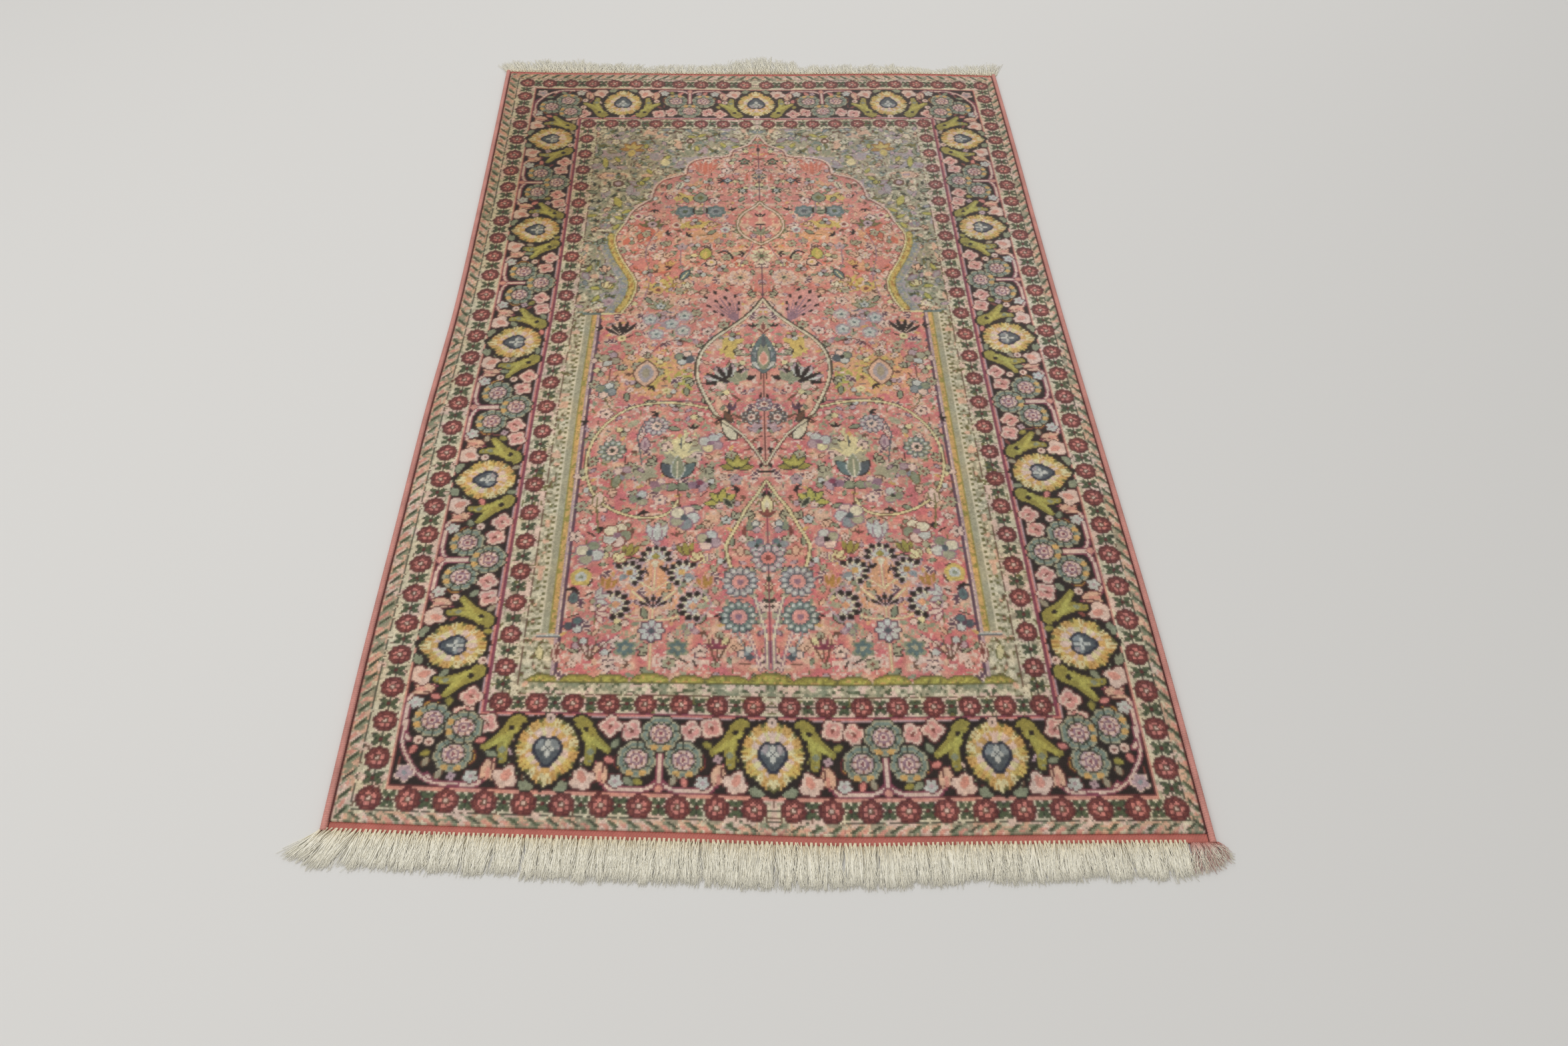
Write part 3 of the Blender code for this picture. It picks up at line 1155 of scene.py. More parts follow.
@dataclass
class FieldDesign:
    """The field under its lobed arch, the spandrels over it and the slim columns beside it."""

    chart: Chart
    # How deep each knot lies in the borders
    depth: Array
    border_depth: float = 136.5
    half_field: float = 183.5
    foot: float = -425
    spring: float = 47
    # The arch from its point down to where it stands on the column, right half
    arch: tuple[Point, ...] = (
        (0, 402), (6, 391), (14, 377), (33, 366), (38, 353), (50, 350.5), (70, 348), (86, 341),
        (93.5, 329), (95.5, 313), (108, 307.5), (124, 300), (134, 284), (138, 260), (151, 248),
        (162, 232), (168, 211), (178, 186), (175, 163), (164, 134), (151, 108), (148, 90), (153, 66),
        (161, 50),
    )
    lobe_ends: int = 17
    # The pointed cartouche in the middle, right half
    cartouche: tuple[Point, ...] = (
        (0, 68), (9, 52), (24, 33), (40, 18), (56, 2), (66, -14), (71, -31), (72, -46), (70, -62),
        (64, -80), (57, -97), (50, -111), (42, -121), (34, -129), (22, -142), (11, -160), (1, -180),
    )
    scroll: tuple[Point, ...] = (
        (58, -102), (78, -96.5), (101, -93.5), (126, -96), (145, -104), (159, -117), (170, -133),
        (177, -151), (180, -173), (177, -196), (168, -218), (152, -234), (133, -243), (117, -246),
        (103, -244), (93, -238), (87, -226),
    )
    lower_bud: tuple[Point, ...] = (
        (0, -201), (9.5, -219), (20, -236), (29, -256), (38, -275), (39.5, -283), (37, -298), (34, -307),
    )
    upper_bud: tuple[Point, ...] = (
        (0, 252), (8, 241), (20, 230), (27, 216), (28, 200), (22, 186), (8, 173), (0, 168),
    )
    # Soft patches of another dye on the ground: x, y, how far they reach each way, how strong, dye
    glows: tuple[tuple, ...] = (
        (118, -50, 52, 44, 1.15, APRICOT), (118, -46, 36, 38, 0.8, GOLD), (88, -60, 18, 22, 0.9, LIME),
        (35, -9, 14, 26, 1.1, GOLD), (86, -156, 28, 24, 1.2, SAGE), (86, -150, 20, 18, 1, CREAM),
        (120, -190, 16, 22, 0.95, SAGE), (58, -192, 15, 20, 0.85, SAGE),
        (110, -128, 14, 10, 0.8, APRICOT), (104, -330, 46, 52, 0.9, APRICOT),
        (104, -352, 26, 22, 0.8, PEACH), (80, -250, 12, 12, 0.8, APRICOT),
        (40, -385, 26, 26, 0.75, PEACH), (150, -400, 40, 14, 0.85, SHELL),
        (80, -402, 40, 12, 0.85, SHELL), (0, 30, 20, 30, 0.75, SAGE), (126, 190, 12, 16, 0.95, APRICOT),
        (78, 207, 32, 9, 1.1, GOLD), (66, 186, 34, 14, 1, APRICOT), (92, 262, 26, 12, 0.9, GOLD),
        (80, 234, 34, 10, 0.9, CELADON), (112, 96, 30, 20, 0.85, GOLD), (140, 190, 20, 26, 0.9, EMBER),
        (118, 130, 22, 26, 0.7, APRICOT), (88, 110, 16, 16, 0.65, APRICOT),
        (80, 290, 14, 14, 0.8, APRICOT), (36, 150, 22, 16, 0.6, SAGE), (110, 40, 34, 26, 0.7, LILAC),
        (44, 64, 26, 26, 0.55, LILAC),
    )
    # The pointed lens in each golden pool and the flowers round it
    pool_work: tuple[tuple, ...] = (
        (Cluster(((Leaf(42, 28, BROWN, fullest=0.5), -21), (Leaf(38, 24.5, PEACH, fullest=0.5), -19),
                  (Leaf(28, 17, HAZE, fullest=0.5), -14), (Leaf(17, 9, STONE, fullest=0.5), -8))),
         127.5, -50),
        (sprig(9, SAGE, BROWN), 127, -27),
        (posy(11.5, (LILAC, STONE, PEARL, SAGE), BROWN, BROWN), 168, -28),
        (posy(11.5, (PEARL, STEEL, SHELL, CELADON), TEAL, SLATE), 168, -75),
        (posy(11, (SHELL, SLATE, PEARL, CELADON), INK, SLATE), 87, -27),
        (posy(8, (SHELL, LILAC, CELADON), MAUVE, HOT_ROSE), 78, 2),
        (daisy(6, SAGE, BROWN, SALMON), 150, -8), (daisy(6, CREAM, OLIVE, SALMON), 104, -76),
        (((80, -4), (96, 2), (112, -4), (126, -22)), 1.3, BRICK),
        (((168, -38), (166, -52), (168, -64)), 1.4, BROWN),
        (((168, -86), (162, -100), (152, -108)), 1.4, MOSS),
    )
    # The two big scrolls and the flowers that they hold
    scroll_work: tuple[tuple, ...] = (
        (scroll, 2.4, CREAM, BROWN, 0.9), (((110, -92), (88, -91), (66, -93.5)), 1.4, PLUM),
        (((124, -120), (130, -140), (127, -160), (124, -178)), 1.8, SLATE),
        (((87, -200), (86, -222), (84, -240)), 1.6, BROWN),
        (round_flower(13, LILAC, SHELL, SLATE), 111.5, -126.5),
        (round_flower(14, CELADON, SHELL, PINE), 155, -159.5),
        (Fan(Leaf(30, 5, CREAM), 5, 96, taper=0.7), 86, -172, 94), (Leaf(20, 2, SLATE), 86, -160),
        (Leaf(15, 10, SAGE), 104, -178, 150), (Leaf(15, 10, SAGE), 68, -178, 30),
        (Leaf(25, 13, TEAL, INK), 88, -196, 132), (Leaf(25, 13, SLATE, INK), 88, -196, 48),
        (Leaf(30, 12, CELADON, PEARL, vein=IVORY), 88, -198), (Leaf(13, 9, CELADON, PINE), 88, -206, 200),
        (Leaf(13, 9, CELADON, PINE), 88, -206, 340),
        (posy(9, (SHELL, STONE, CELADON, MAUVE), MAUVE), 106, -206),
        (posy(9, (WINE, LILAC, ROSE, MAUVE), PLUM), 68, -208),
        (posy(12.5, (PEARL, LILAC, CREAM, PEARL), MAUVE), 55.5, -151),
        (bud(18, 9, LILAC, MAUVE), 122.5, -160), (Leaf(17, 8, SAGE, SALMON), 142, -128, 140),
        (posy(10, (LILAC, SAGE, STEEL, SHELL), BROWN), 142, -190, 100),
        (Leaf(16, 8, CELADON, MOSS), 150, -208, 100), (posy(10, (PEARL, SAGE, CELADON), PINE), 124, -222),
        (daisy(7, SHELL, SLATE, MAUVE), 104, -224), (Fan(Leaf(17, 7, OLIVE, PINE), 5, 170), 29, -184, 92),
        (Fan(Leaf(11, 5, LIME), 3, 110), 29, -182, 92), (daisy(6.5, LILAC, PLUM, STEEL), 30, -200),
        (Fan(Leaf(17, 7, LIME, PINE), 4, 150), 44, -228, 70), (Leaf(14, 5, PINE, SAGE), 42, -224, 230),
        (posy(14.5, (SHELL, PEARL, STEEL, SAGE, IVORY), SLATE), 80, -246),
        (daisy(5.6, PEARL, PINE, PINE), 39.5, -250), (Leaf(20, 9, SHELL, MOSS), 166, -232, 100),
        (((165, -221), (164, -240), (161, -262)), 1.9, MOSS),
    )
    # The pointed cartouche with its bud, fans and rosettes
    cartouche_work: tuple[tuple, ...] = (
        ([(x + 1, y + 0.4) for x, y in cartouche[:13]], 5.4, PINE), (cartouche, 2.8, IVORY, BROWN, 0.8),
        ([(x + 1.9, y) for x, y in cartouche[13:]], 1.4, MAROON),
        (((0, -174), (0, 4)), 2.2, MAROON, SALMON, 0.8), (((0, -189.5), (7, -189.5)), 4, INK),
        (((50, -114), (40, -118), (33, -112), (24, -116)), 2.6, BROWN),
        (((50, -121), (38, -112), (37, -96)), 2.4, INK), (Leaf(60, 26, TEAL, SLATE, fullest=0.4), 0, -50),
        (Leaf(17, 8, STEEL, SLATE), 0, -30, 42), (Leaf(17, 8, PEARL, SLATE), 0, -44, 40),
        (Leaf(12, 6, PEARL, SLATE), 0, -20, 46), (Leaf(46, 14, CELADON, SLATE, fullest=0.4), 0, -46),
        (Leaf(20, 8, SALMON, SHELL), 0, -38), (Leaf(20, 6, SLATE), 0, -12),
        (Leaf(13, 5, BRICK, PEACH), 0, 16), (Leaf(10, 4, BRICK, PEACH), 0, 12, 45),
        (Fan(Leaf(28, 12, LILAC, SLATE), 4, 120), 38, -64, 78),
        (Fan(Leaf(25, 4.6, PEARL), 5, 130), 38, -64, 78),
        (Fan(Leaf(27, 5.6, INK, start=2), 6, 165), 38, -64, 78), (Leaf(12, 6.5, INK), 38, -66),
        (Fan(Leaf(15, 6, CELADON, SAGE), 3, 100), 24, -62, 60), (Leaf(14, 8, SHELL, SAGE), 42, -76, 60),
        (round_flower(10, MAUVE, SHELL, BRICK, 8), 0, -97),
        (round_flower(10.5, BROWN, SHELL, BRICK, 8), 14, -115.5),
        (Fan(Leaf(14, 3, PLUM), 3, 60), 32, -106, 70), (Leaf(13, 4, BROWN), 26, -90, 40),
        (Leaf(26, 10, IVORY, INK, rim=1.6, fullest=0.35), 30.5, -146, 58),
        (Leaf(18, 6, BROWN, PINE), 34, -122, 62), (Leaf(16, 6, LILAC), 10, -138),
        (daisy(5, SHELL, BRICK, ROSE), 26, -74), (daisy(5, SHELL, HOT_ROSE, HOT_ROSE), 50, -32),
    )
    # The bud that stands on two stems at the foot of the field
    lower_bud_work: tuple[tuple, ...] = (
        (lower_bud, 2.6, CREAM, BROWN, 0.9), (((0, -206), (0, -404)), 2.4, WINE),
        (((13, -338), (8, -358), (3.5, -380), (2.6, -410)), 2, IVORY, MAUVE, 0.8),
        (((20, -375), (14, -392), (9, -412)), 1.8, SHELL, MAUVE, 0.9),
        (((30, -372), (24, -388)), 1.5, STEEL), (bud(22, 12, CREAM, IVORY, BROWN), 0, -242),
        (Fan(Leaf(12, 4, BRICK), 3, 100), 0, -246),
        (posy(8, (PEARL, LILAC, CELADON), SLATE, SLATE), 13, -258.5),
        (posy(9, (TEAL, CELADON, PEARL, STEEL), PINE), 10.5, -281), (Leaf(13, 5, BRICK), 22, -270),
        (Leaf(12, 6, PEACH, BRICK), 26, -292), (round_flower(16, LILAC, ROSE, BRICK), 0, -295),
        (round_flower(16.8, HAZE, ROSE_PINK, MAUVE, 13), 26.5, -321),
        (round_flower(16.8, STEEL_GREEN, ROSE_PINK, MAUVE, 13), 27.5, -358.5),
        (Fan(Leaf(8, 3.6, PINE), 2, 90), 0, -344), (Leaf(9, 4, PINE), 0, -322),
        (posy(7.6, (PEARL, SLATE, SHELL), STEEL, SLATE), 21, -396),
        (Fan(Leaf(34, 1.9, BROWN), 3, 40), 48, -408, 96), (Fan(Leaf(12, 3, WINE), 4, 130), 48, -392, 96),
        (posy(12, (PEARL, LILAC, SHELL, SAGE), INK), 56, -273.5), (sprig(11, CREAM, MAUVE), 60, -300, 80),
        (daisy(4, SHELL, BRICK, MAUVE), 46, -232),
    )

    def draw(self) -> None:
        """Tie the field and everything in it."""
        inner = self.depth >= self.border_depth
        across, along = self.chart.off, self.chart.along
        outline = [*self.arch, (self.half_field, self.spring), (self.half_field, self.foot), (0, self.foot)]
        field_mask = self.chart.region(outline) & inner
        self.draw_spandrels(inner & (along > self.spring) & ~field_mask)
        self.draw_columns(inner & (along <= self.spring) & (across >= self.half_field))
        self.draw_ground(field_mask)
        self.draw_fillers(field_mask)
        self.draw_arch()
        self.draw_upper_field()
        for work in (self.pool_work, self.scroll_work, self.cartouche_work, self.lower_bud_work):
            self.chart.draw(work)
        self.draw_bushes()
        self.draw_hills()

    def draw_ground(self, where: Array) -> None:
        """Tie the rose ground with its blotches and soft patches.

        Args:
            where: the field.
        """
        knots, y = self.chart.knots, self.chart.along
        fine, middling, broad = self.chart.mottles((3.4, 21), (8, 22), (22, 23))
        self.chart.tie(where, (
            (ROSE,), (SALMON, (middling, 0.6)), (PEACH, (middling, 0.8)),
            (HOT_ROSE, (middling, 0, 0.3), (y, ANY, 20)), (EMBER, (middling, 0, 0.16), (y, 60)),
            (PEACH, (broad, 0.62), (middling, 0.4, 0.62), (y, 40)), (SHELL, (fine, 0.74), (broad, 0.3)),
            (SAGE, (fine, 0, 0.22), (broad, 0, 0.7)), (BROWN, (fine, 0, 0.13), (y, 20)),
        ))
        for x, place, across, along, strength, dye in self.glows:
            soft = strength * np.exp(-((self.chart.off - x) / across) ** 2 - ((y - place) / along) ** 2)
            knots[where & (soft > 0.25 + 0.75 * fine)] = dye

    def draw_fillers(self, where: Array) -> None:
        """Scatter small leaves, stems and buds over the ground, alike on both halves.

        Args:
            where: the field.
        """
        large = (
            daisy(7, SHELL, INK, PLUM), daisy(6.6, SAGE, BRICK, INK, 6),
            posy(8, (CREAM, SHELL, SAGE), PINE, BROWN), posy(7.6, (LILAC, PEARL, CELADON), INK, BROWN),
            Fan(Leaf(10, 4.2, SAGE, INK, rim=1.1), 3, 84),
            Fan(Leaf(9.5, 4, PEACH, BROWN, rim=1.1), 3, 76), Fan(Leaf(9, 3, INK), 3, 96),
            Leaf(13, 5.6, CELADON, INK, rim=1.1).centred(),
            Fan(Leaf(9, 3.4, PLUM, SHELL, rim=0.9), 4, 120),
        )
        small = (
            Leaf(9, 4.6, SAGE, BROWN, rim=0.8).centred(), Leaf(8, 4.2, PEACH, BROWN, rim=0.8).centred(),
            Leaf(9, 4, CELADON).centred(), Leaf(12, 2, INK).centred(), Leaf(10, 2.2, BROWN).centred(),
            daisy(4.4, SHELL, BROWN, BROWN), Fan(Leaf(7, 2.2, BROWN), 3, 80),
            Leaf(8, 3.6, HONEY).centred(), Leaf(8, 3.4, LILAC, PLUM, rim=0.7).centred(),
            Leaf(7, 2.4, MOSS).centred(), Leaf(8, 3.6, CELADON, PINE, rim=0.7).centred(),
            Leaf(7, 2.4, SLATE).centred(),
        )
        taken = self.scatter(where, large, 17, 31, [])
        self.scatter(where, small, 9, 32, taken)

    def scatter(self, where: Array, motifs: Sequence[Motif], apart: float, seed: int,
                taken: list[Point]) -> list[Point]:
        """Scatter motifs over a part of the right half and mirror them.

        Args:
            where: the part.
            motifs: what to choose from.
            apart: how far apart they stay, each way.
            seed: which scatter.
            taken: the places that are taken already.

        Returns:
            All the places, old and new.
        """
        dice = np.random.default_rng(seed)
        spots = np.argwhere(where & (self.chart.across > 2))
        placed = list(taken)
        for row, column in spots[dice.permutation(len(spots))[:9000]]:
            x, y = float(self.chart.x[column]), float(self.chart.y[row])
            if all(abs(x - a) > apart or abs(y - b) > apart for a, b in placed):
                placed.append((x, y))
                kind, turn = int(dice.integers(len(motifs))), dice.uniform(0, 360)
                self.chart.place(motifs[kind], x, y, turn)
        return placed

    def draw_spandrels(self, where: Array) -> None:
        """Tie the pale ground over the arch with its leaves and blossoms.

        Args:
            where: the spandrels.
        """
        fine, middling, broad = self.chart.mottles((3.2, 25), (7, 26), (18, 27))
        self.chart.tie(where, (
            (STONE,), (SAGE, (middling, 0.55)), (STEEL_GREEN, (middling, 0, 0.34)), (IVORY, (fine, 0.74)),
            (CELADON, (fine, 0, 0.32), (broad, 0.45)), (BROWN, (fine, 0, 0.26), (broad, 0, 0.5)),
            (PINE, (fine, 0, 0.13)), (MOSS, (middling, 0, 0.2), (fine, 0, 0.6)),
            (HAZE, (broad, 0.66), (middling, 0.52)), (LILAC, (broad, 0.78), (middling, 0.66)),
            (PEACH, (broad, 0, 0.22), (middling, 0.5)),
        ))
        bits = (
            Leaf(13, 6.4, HAZE, MAUVE).centred(), Leaf(11, 4.8, SAGE, BROWN).centred(),
            Leaf(12, 5.4, LIME, MOSS).centred(), Leaf(12, 4.6, CELADON, PINE).centred(),
            daisy(6.4, IVORY, LILAC, BROWN), Fan(Leaf(7, 2.4, PINE), 3, 90),
            Leaf(9, 2.4, BROWN).centred(), Leaf(10, 2, PINE).centred(),
            Leaf(10, 4.4, LILAC, SLATE, rim=0.8).centred(), Leaf(9, 4.8, STEEL, SLATE, rim=0.8).centred(),
            Fan(Leaf(8, 3, PEACH, BROWN, rim=0.8), 3, 80),
        )
        self.scatter(where, bits, 11.5, 37, [])
        crown = Cluster((
            (Fan(Leaf(17, 8, OCHRE, BROWN, rim=0.8), 5, 200), 6), (Fan(Leaf(12, 6, GOLD), 3, 110), 6),
            (Leaf(16, 10, GOLD, STONE), 4, 0, 180),
        ))
        self.chart.draw((
            (crown, 167, 362, 96),
            (Bloom(8.2, 6, ((1.1, IVORY), (0.95, BROWN), (0.5, LILAC)), notch=0.1), 181, 292),
            (Bloom(6.4, 5, ((1.1, SHELL), (0.95, BROWN), (0.4, SHELL))), 90, 386),
            (Fan(Leaf(15, 7, CELADON, STONE), 3, 80), 91, 352, 70),
            (Fan(Leaf(17, 7, HAZE, LILAC), 3, 60), 136, 342, 100),
            (Leaf(22, 9, HAZE, MAUVE, rim=0.8), 166, 268, 95), (sprig(10, LIME, PINE), 152, 288),
            (Leaf(22, 9, LIME, MOSS, rim=0.8), 176, 244, 70),
            (Leaf(24, 7, LIME, MOSS, rim=0.8), 199, 326, 84), (sprig(9, STONE, INK), 186, 330),
            (Leaf(16, 12, CREAM, STONE), 121, 330, 80), (sprig(12, IVORY, LEAF), 118, 378, 110),
            (sprig(10, LILAC, TEAL), 46, 388, 100), (Leaf(15, 7, SAGE, STONE), 62, 372),
            (sprig(13, PEACH, INK), 186, 118, 80),
            (sprig(12, CREAM, BROWN), 184, 90, 100), (sprig(12, STEEL, MAUVE), 192, 200),
            (daisy(8, LILAC, MAUVE, STEEL), 178, 66),
        ))

    def draw_columns(self, where: Array) -> None:
        """Tie the slim column between the inner guard and the field, with its cap and its foot.

        Args:
            where: the column zone.
        """
        chart = self.chart
        knots, y, off = chart.knots, chart.along, chart.off
        fine, middling = chart.mottles((2.6, 28), (6, 29))
        chart.tie(where, (
            (SAGE,), (IVORY, (fine, 0.62)), (MOSS, (fine, 0, 0.3)), (BROWN, (fine, 0, 0.16)),
            (PEACH, (middling, 0.74)),
        ))
        shaft = where & (y > self.foot + 50)
        chart.tie(shaft, (
            (IVORY, (off, 201.5, 206.5)), (MOSS, (off, 203, 205.6), (y / 6.8 % 1, 0, 0.45)),
            (SAGE, (off, 196, 201.5)), (OLIVE, (off, 189.5, 196)),
            (HONEY, (off, 189.5, 194.5), (fine, 0.32)),
        ))
        chart.tie(where, (
            (LILAC, (off, 187.4, 189.5)), (SHELL, (off, 186.2, 188), (fine, 0.4)),
            (PLUM, (off, 0, 186.4)),
        ))
        for low, high, dye in ((self.foot + 46, self.foot + 48.4, PEARL),
                               (self.foot + 44.6, self.foot + 46, SLATE),
                               (self.spring - 2.6, self.spring + 0.2, TEAL)):
            knots[(off > 182) & (off < 206) & (y > low) & (y < high)] = dye
        chart.draw((
            (Leaf(20, 8, SHELL, BRICK), 186, self.foot + 20), (Leaf(14, 3.6, BRICK), 186, self.foot + 23),
            (Leaf(14, 6, CREAM, MOSS), 200, self.foot + 22, 80),
        ))

    def draw_arch(self) -> None:
        """Tie the arch's outline and the curved bands that carry it down to the columns."""
        chart = self.chart
        lobes, sweep = self.arch[:self.lobe_ends], self.arch[self.lobe_ends - 1:]
        off = [(x + 9.5, y + 1) for x, y in sweep[1:]]
        chart.draw((
            ([(x + 4.5, y) for x, y in off[1:]], 9, STEEL, HAZE, 1.6),
            ([(x - 4, y) for x, y in off], 9, OLIVE), ([(x - 3.6, y) for x, y in off], 5.4, GOLD),
        ))
        fine, middling = chart.mottles((2.6, 45), (6, 46))
        streaks = (chart.along > 40) & (chart.along < 240) & (fine > 0.66)
        for dye, other in ((GOLD, OCHRE), (OLIVE, MOSS), (STEEL, SAGE)):
            chart.knots[(chart.knots == dye) & streaks] = other
        chart.knots[(chart.knots == STEEL) & (middling < 0.34)] = HAZE
        chart.draw((
            ([(x - 1.4, y) for x, y in sweep], 1.6, BRICK), ([(x + 0.4, y) for x, y in sweep], 2.2, CREAM),
        ))
        starts = (0, 4, 9, 13, len(lobes) - 1)
        for start, stop in zip(starts, starts[1:]):
            lobe = lobes[start:stop + 1]
            chart.draw((
                ([(max(x - 2, 0), y - 1.6) for x, y in lobe], 1.6, BRICK), (lobe, 2.6, SHELL),
            ))
        chart.stroke([(161, 47.5), (172, 46), (184, 46)], 2, CREAM, BRICK, 1)

    def draw_upper_field(self) -> None:
        """Tie the bud, the leaves and the flowers between the arch and the cartouche."""
        chart = self.chart
        chart.draw((
            (((0, 70), (0, 378)), 1.5, PLUM), (((8, 175), (16, 150), (26, 128), (24, 92)), 1.4, MAUVE),
            (((96, 166), (98, 140), (91, 112), (80, 98)), 1.4, MAUVE),
            (((70, 252), (70, 232), (58, 214), (30, 205)), 1.4, MAUVE),
            (((20, 275), (26, 292), (34, 312), (22, 338)), 1.3, BRICK),
            (((120, 206), (134, 180), (140, 150), (132, 110), (138, 70)), 1.3, MAUVE),
        ))
        mask = chart.region((*self.upper_bud, (0, 210)))
        chart.tie(mask, ((ROSE,), (PEACH, (chart.mottle(4, 71), 0.5))))
        beige = Bloom(16, 8, ((1.02, ROSE), (0.95, SHELL), (0.62, PEACH), (0.26, SAGE), (0.15, PINE)),
                      notch=0.2, split=MAUVE, split_from=0.3, split_width=1)
        pearly = Cluster(((Bloom(9.5, 1, ((1, LILAC),), notch=0),), (daisy(7.4, PEARL, TEAL, STEEL),)))
        shell = Cluster((
            (Leaf(66, 40, ROSE_PINK, fullest=0.58),), (Fan(Leaf(56, 2.4, MAUVE), 7, 44, taper=0.72),),
            (Fan(Leaf(8, 4.6, INK, start=56), 3, 26, taper=0.86),),
            (Fan(Leaf(7.5, 4.4, INK, start=43), 4, 44, taper=0.94),),
            (Fan(Leaf(7, 4, INK, start=31), 4, 54),), (Fan(Leaf(6, 3.6, INK, start=21), 2, 52),),
        ))
        chart.draw((
            (self.upper_bud, 2.4, SHELL, MOSS, 1.5), (((0, 172), (0, 205)), 1.6, PLUM),
            (((0, 206), (5, 206)), 2.4, INK),
            (Leaf(9.5, 3.4, INK, start=3), 0, 218, 58), (Leaf(9.5, 3.4, INK, start=3), 0, 218),
            (Fan(Leaf(17, 4, CELADON, BROWN, rim=0.8), 4, 110), 0, 186),
            (daisy(5.4, SHELL, BRICK, BROWN), 13, 198), (daisy(4.4, LILAC, PLUM, PLUM), 9, 184),
            (beige, 26, 107),
            (Bloom(14, 8, ((1, IVORY), (0.6, SAGE), (0.25, LEAF)), notch=0.25, split=WINE,
                   split_from=0.3), 0, 146),
            (Leaf(22, 14, LIME, BROWN, fullest=0.5), 68.5, 140, 96), (Leaf(14, 6, GOLD), 69, 143, 96),
            (Bloom(6.5, 3, ((1.2, INK), (0.92, SHELL), (0.4, GOLD)), notch=0.1), 60.5, 134.5),
            (Bloom(13, 7, ((1, TEAL), (0.62, STEEL), (0.3, LEAF)), notch=0.25), 94, 233),
            (Bloom(13, 7, ((1, TEAL), (0.62, STEEL), (0.3, SLATE)), notch=0.25), 55.5, 233),
            (Leaf(3, 15, INK).centred(), 83, 234.7, 0), (Leaf(3, 15, INK).centred(), 67, 234.7, 0),
            (bud(20, 17, CELADON, MOSS, INK), 75, 252),
            (Leaf(17, 9, IVORY, MAUVE, vein=PINE), 104.5, 280, 110),
            (Bloom(5, 5, ((1, SHELL), (0.72, WINE), (0.35, SHELL))), 113, 264),
            (Bloom(8, 5, ((1, PINE), (0.6, CELADON), (0.3, BRICK)), notch=0.4), 18.5, 339),
            (Bloom(6.5, 4, ((1, NIGHT), (0.6, PEARL), (0.25, INK)), notch=0.4), 40.5, 298),
            (Bloom(7.5, 6, ((1, PINE), (0.5, PEARL), (0.2, PINE)), notch=0.5), 21.5, 276),
            (Leaf(11, 5, INK), 0, 361), (Fan(Leaf(8, 3, BRICK), 3, 140), 0, 344),
            (Fan(Leaf(11, 4, SLATE, PEACH), 3, 120), 0, 300), (daisy(6, LILAC, BROWN, BROWN), 0, 318),
            (Leaf(20, 9, TEAL, INK, vein=CREAM), 96, 104, 118),
            (daisy(6.5, LILAC, NIGHT, STEEL), 96, 164),
            (Fan(Leaf(15, 5.5, MOSS, BROWN), 5, 150), 134, 204),
            (Bloom(6, 5, ((1, LILAC), (0.4, INK))), 134, 208),
            (Fan(Leaf(16, 5, SAGE, MOSS), 5, 140), 118, 54), (daisy(5.5, PEARL, SLATE, TEAL), 118, 58),
            (Leaf(13, 6, EMBER, BROWN), 148, 178), (Leaf(16, 9, EMBER), 167, 168, 110),
            (daisy(7, SHELL, GOLD, BROWN), 126, 146), (sprig(11, SAGE, BROWN), 112, 166, 60),
            (sprig(11, HONEY, BRICK), 110, 128), (Bloom(6, 5, ((1, SHELL), (0.5, BRICK))), 104, 206),
            (sprig(10, SAGE, MAUVE), 52, 170), (Bloom(6, 5, ((1, PEARL), (0.5, MAUVE))), 44, 196),
            (Bloom(6, 5, ((1, SHELL), (0.5, WINE))), 152, 224), (sprig(12, IVORY, BROWN), 88, 88),
            (Bloom(7, 5, ((1, HONEY), (0.45, BRICK))), 122, 86),
            *((pearly, x, y) for x, y in ((128.5, 36), (90, 42), (120.5, 11.5), (90.5, 17), (104, 28))),
            (((52, 152), (44, 155), (37, 149), (35, 141)), 2.8, INK),
            (((73, 164), (66, 166), (60, 158)), 1.8, BROWN), (shell, 27, 28, 62),
            (Fan(Leaf(30, 7, EMBER, SALMON, rim=1.4), 5, 64), 70, 310, 92),
            (hand_sprig(21), 158.5, 8, 80),
        ))

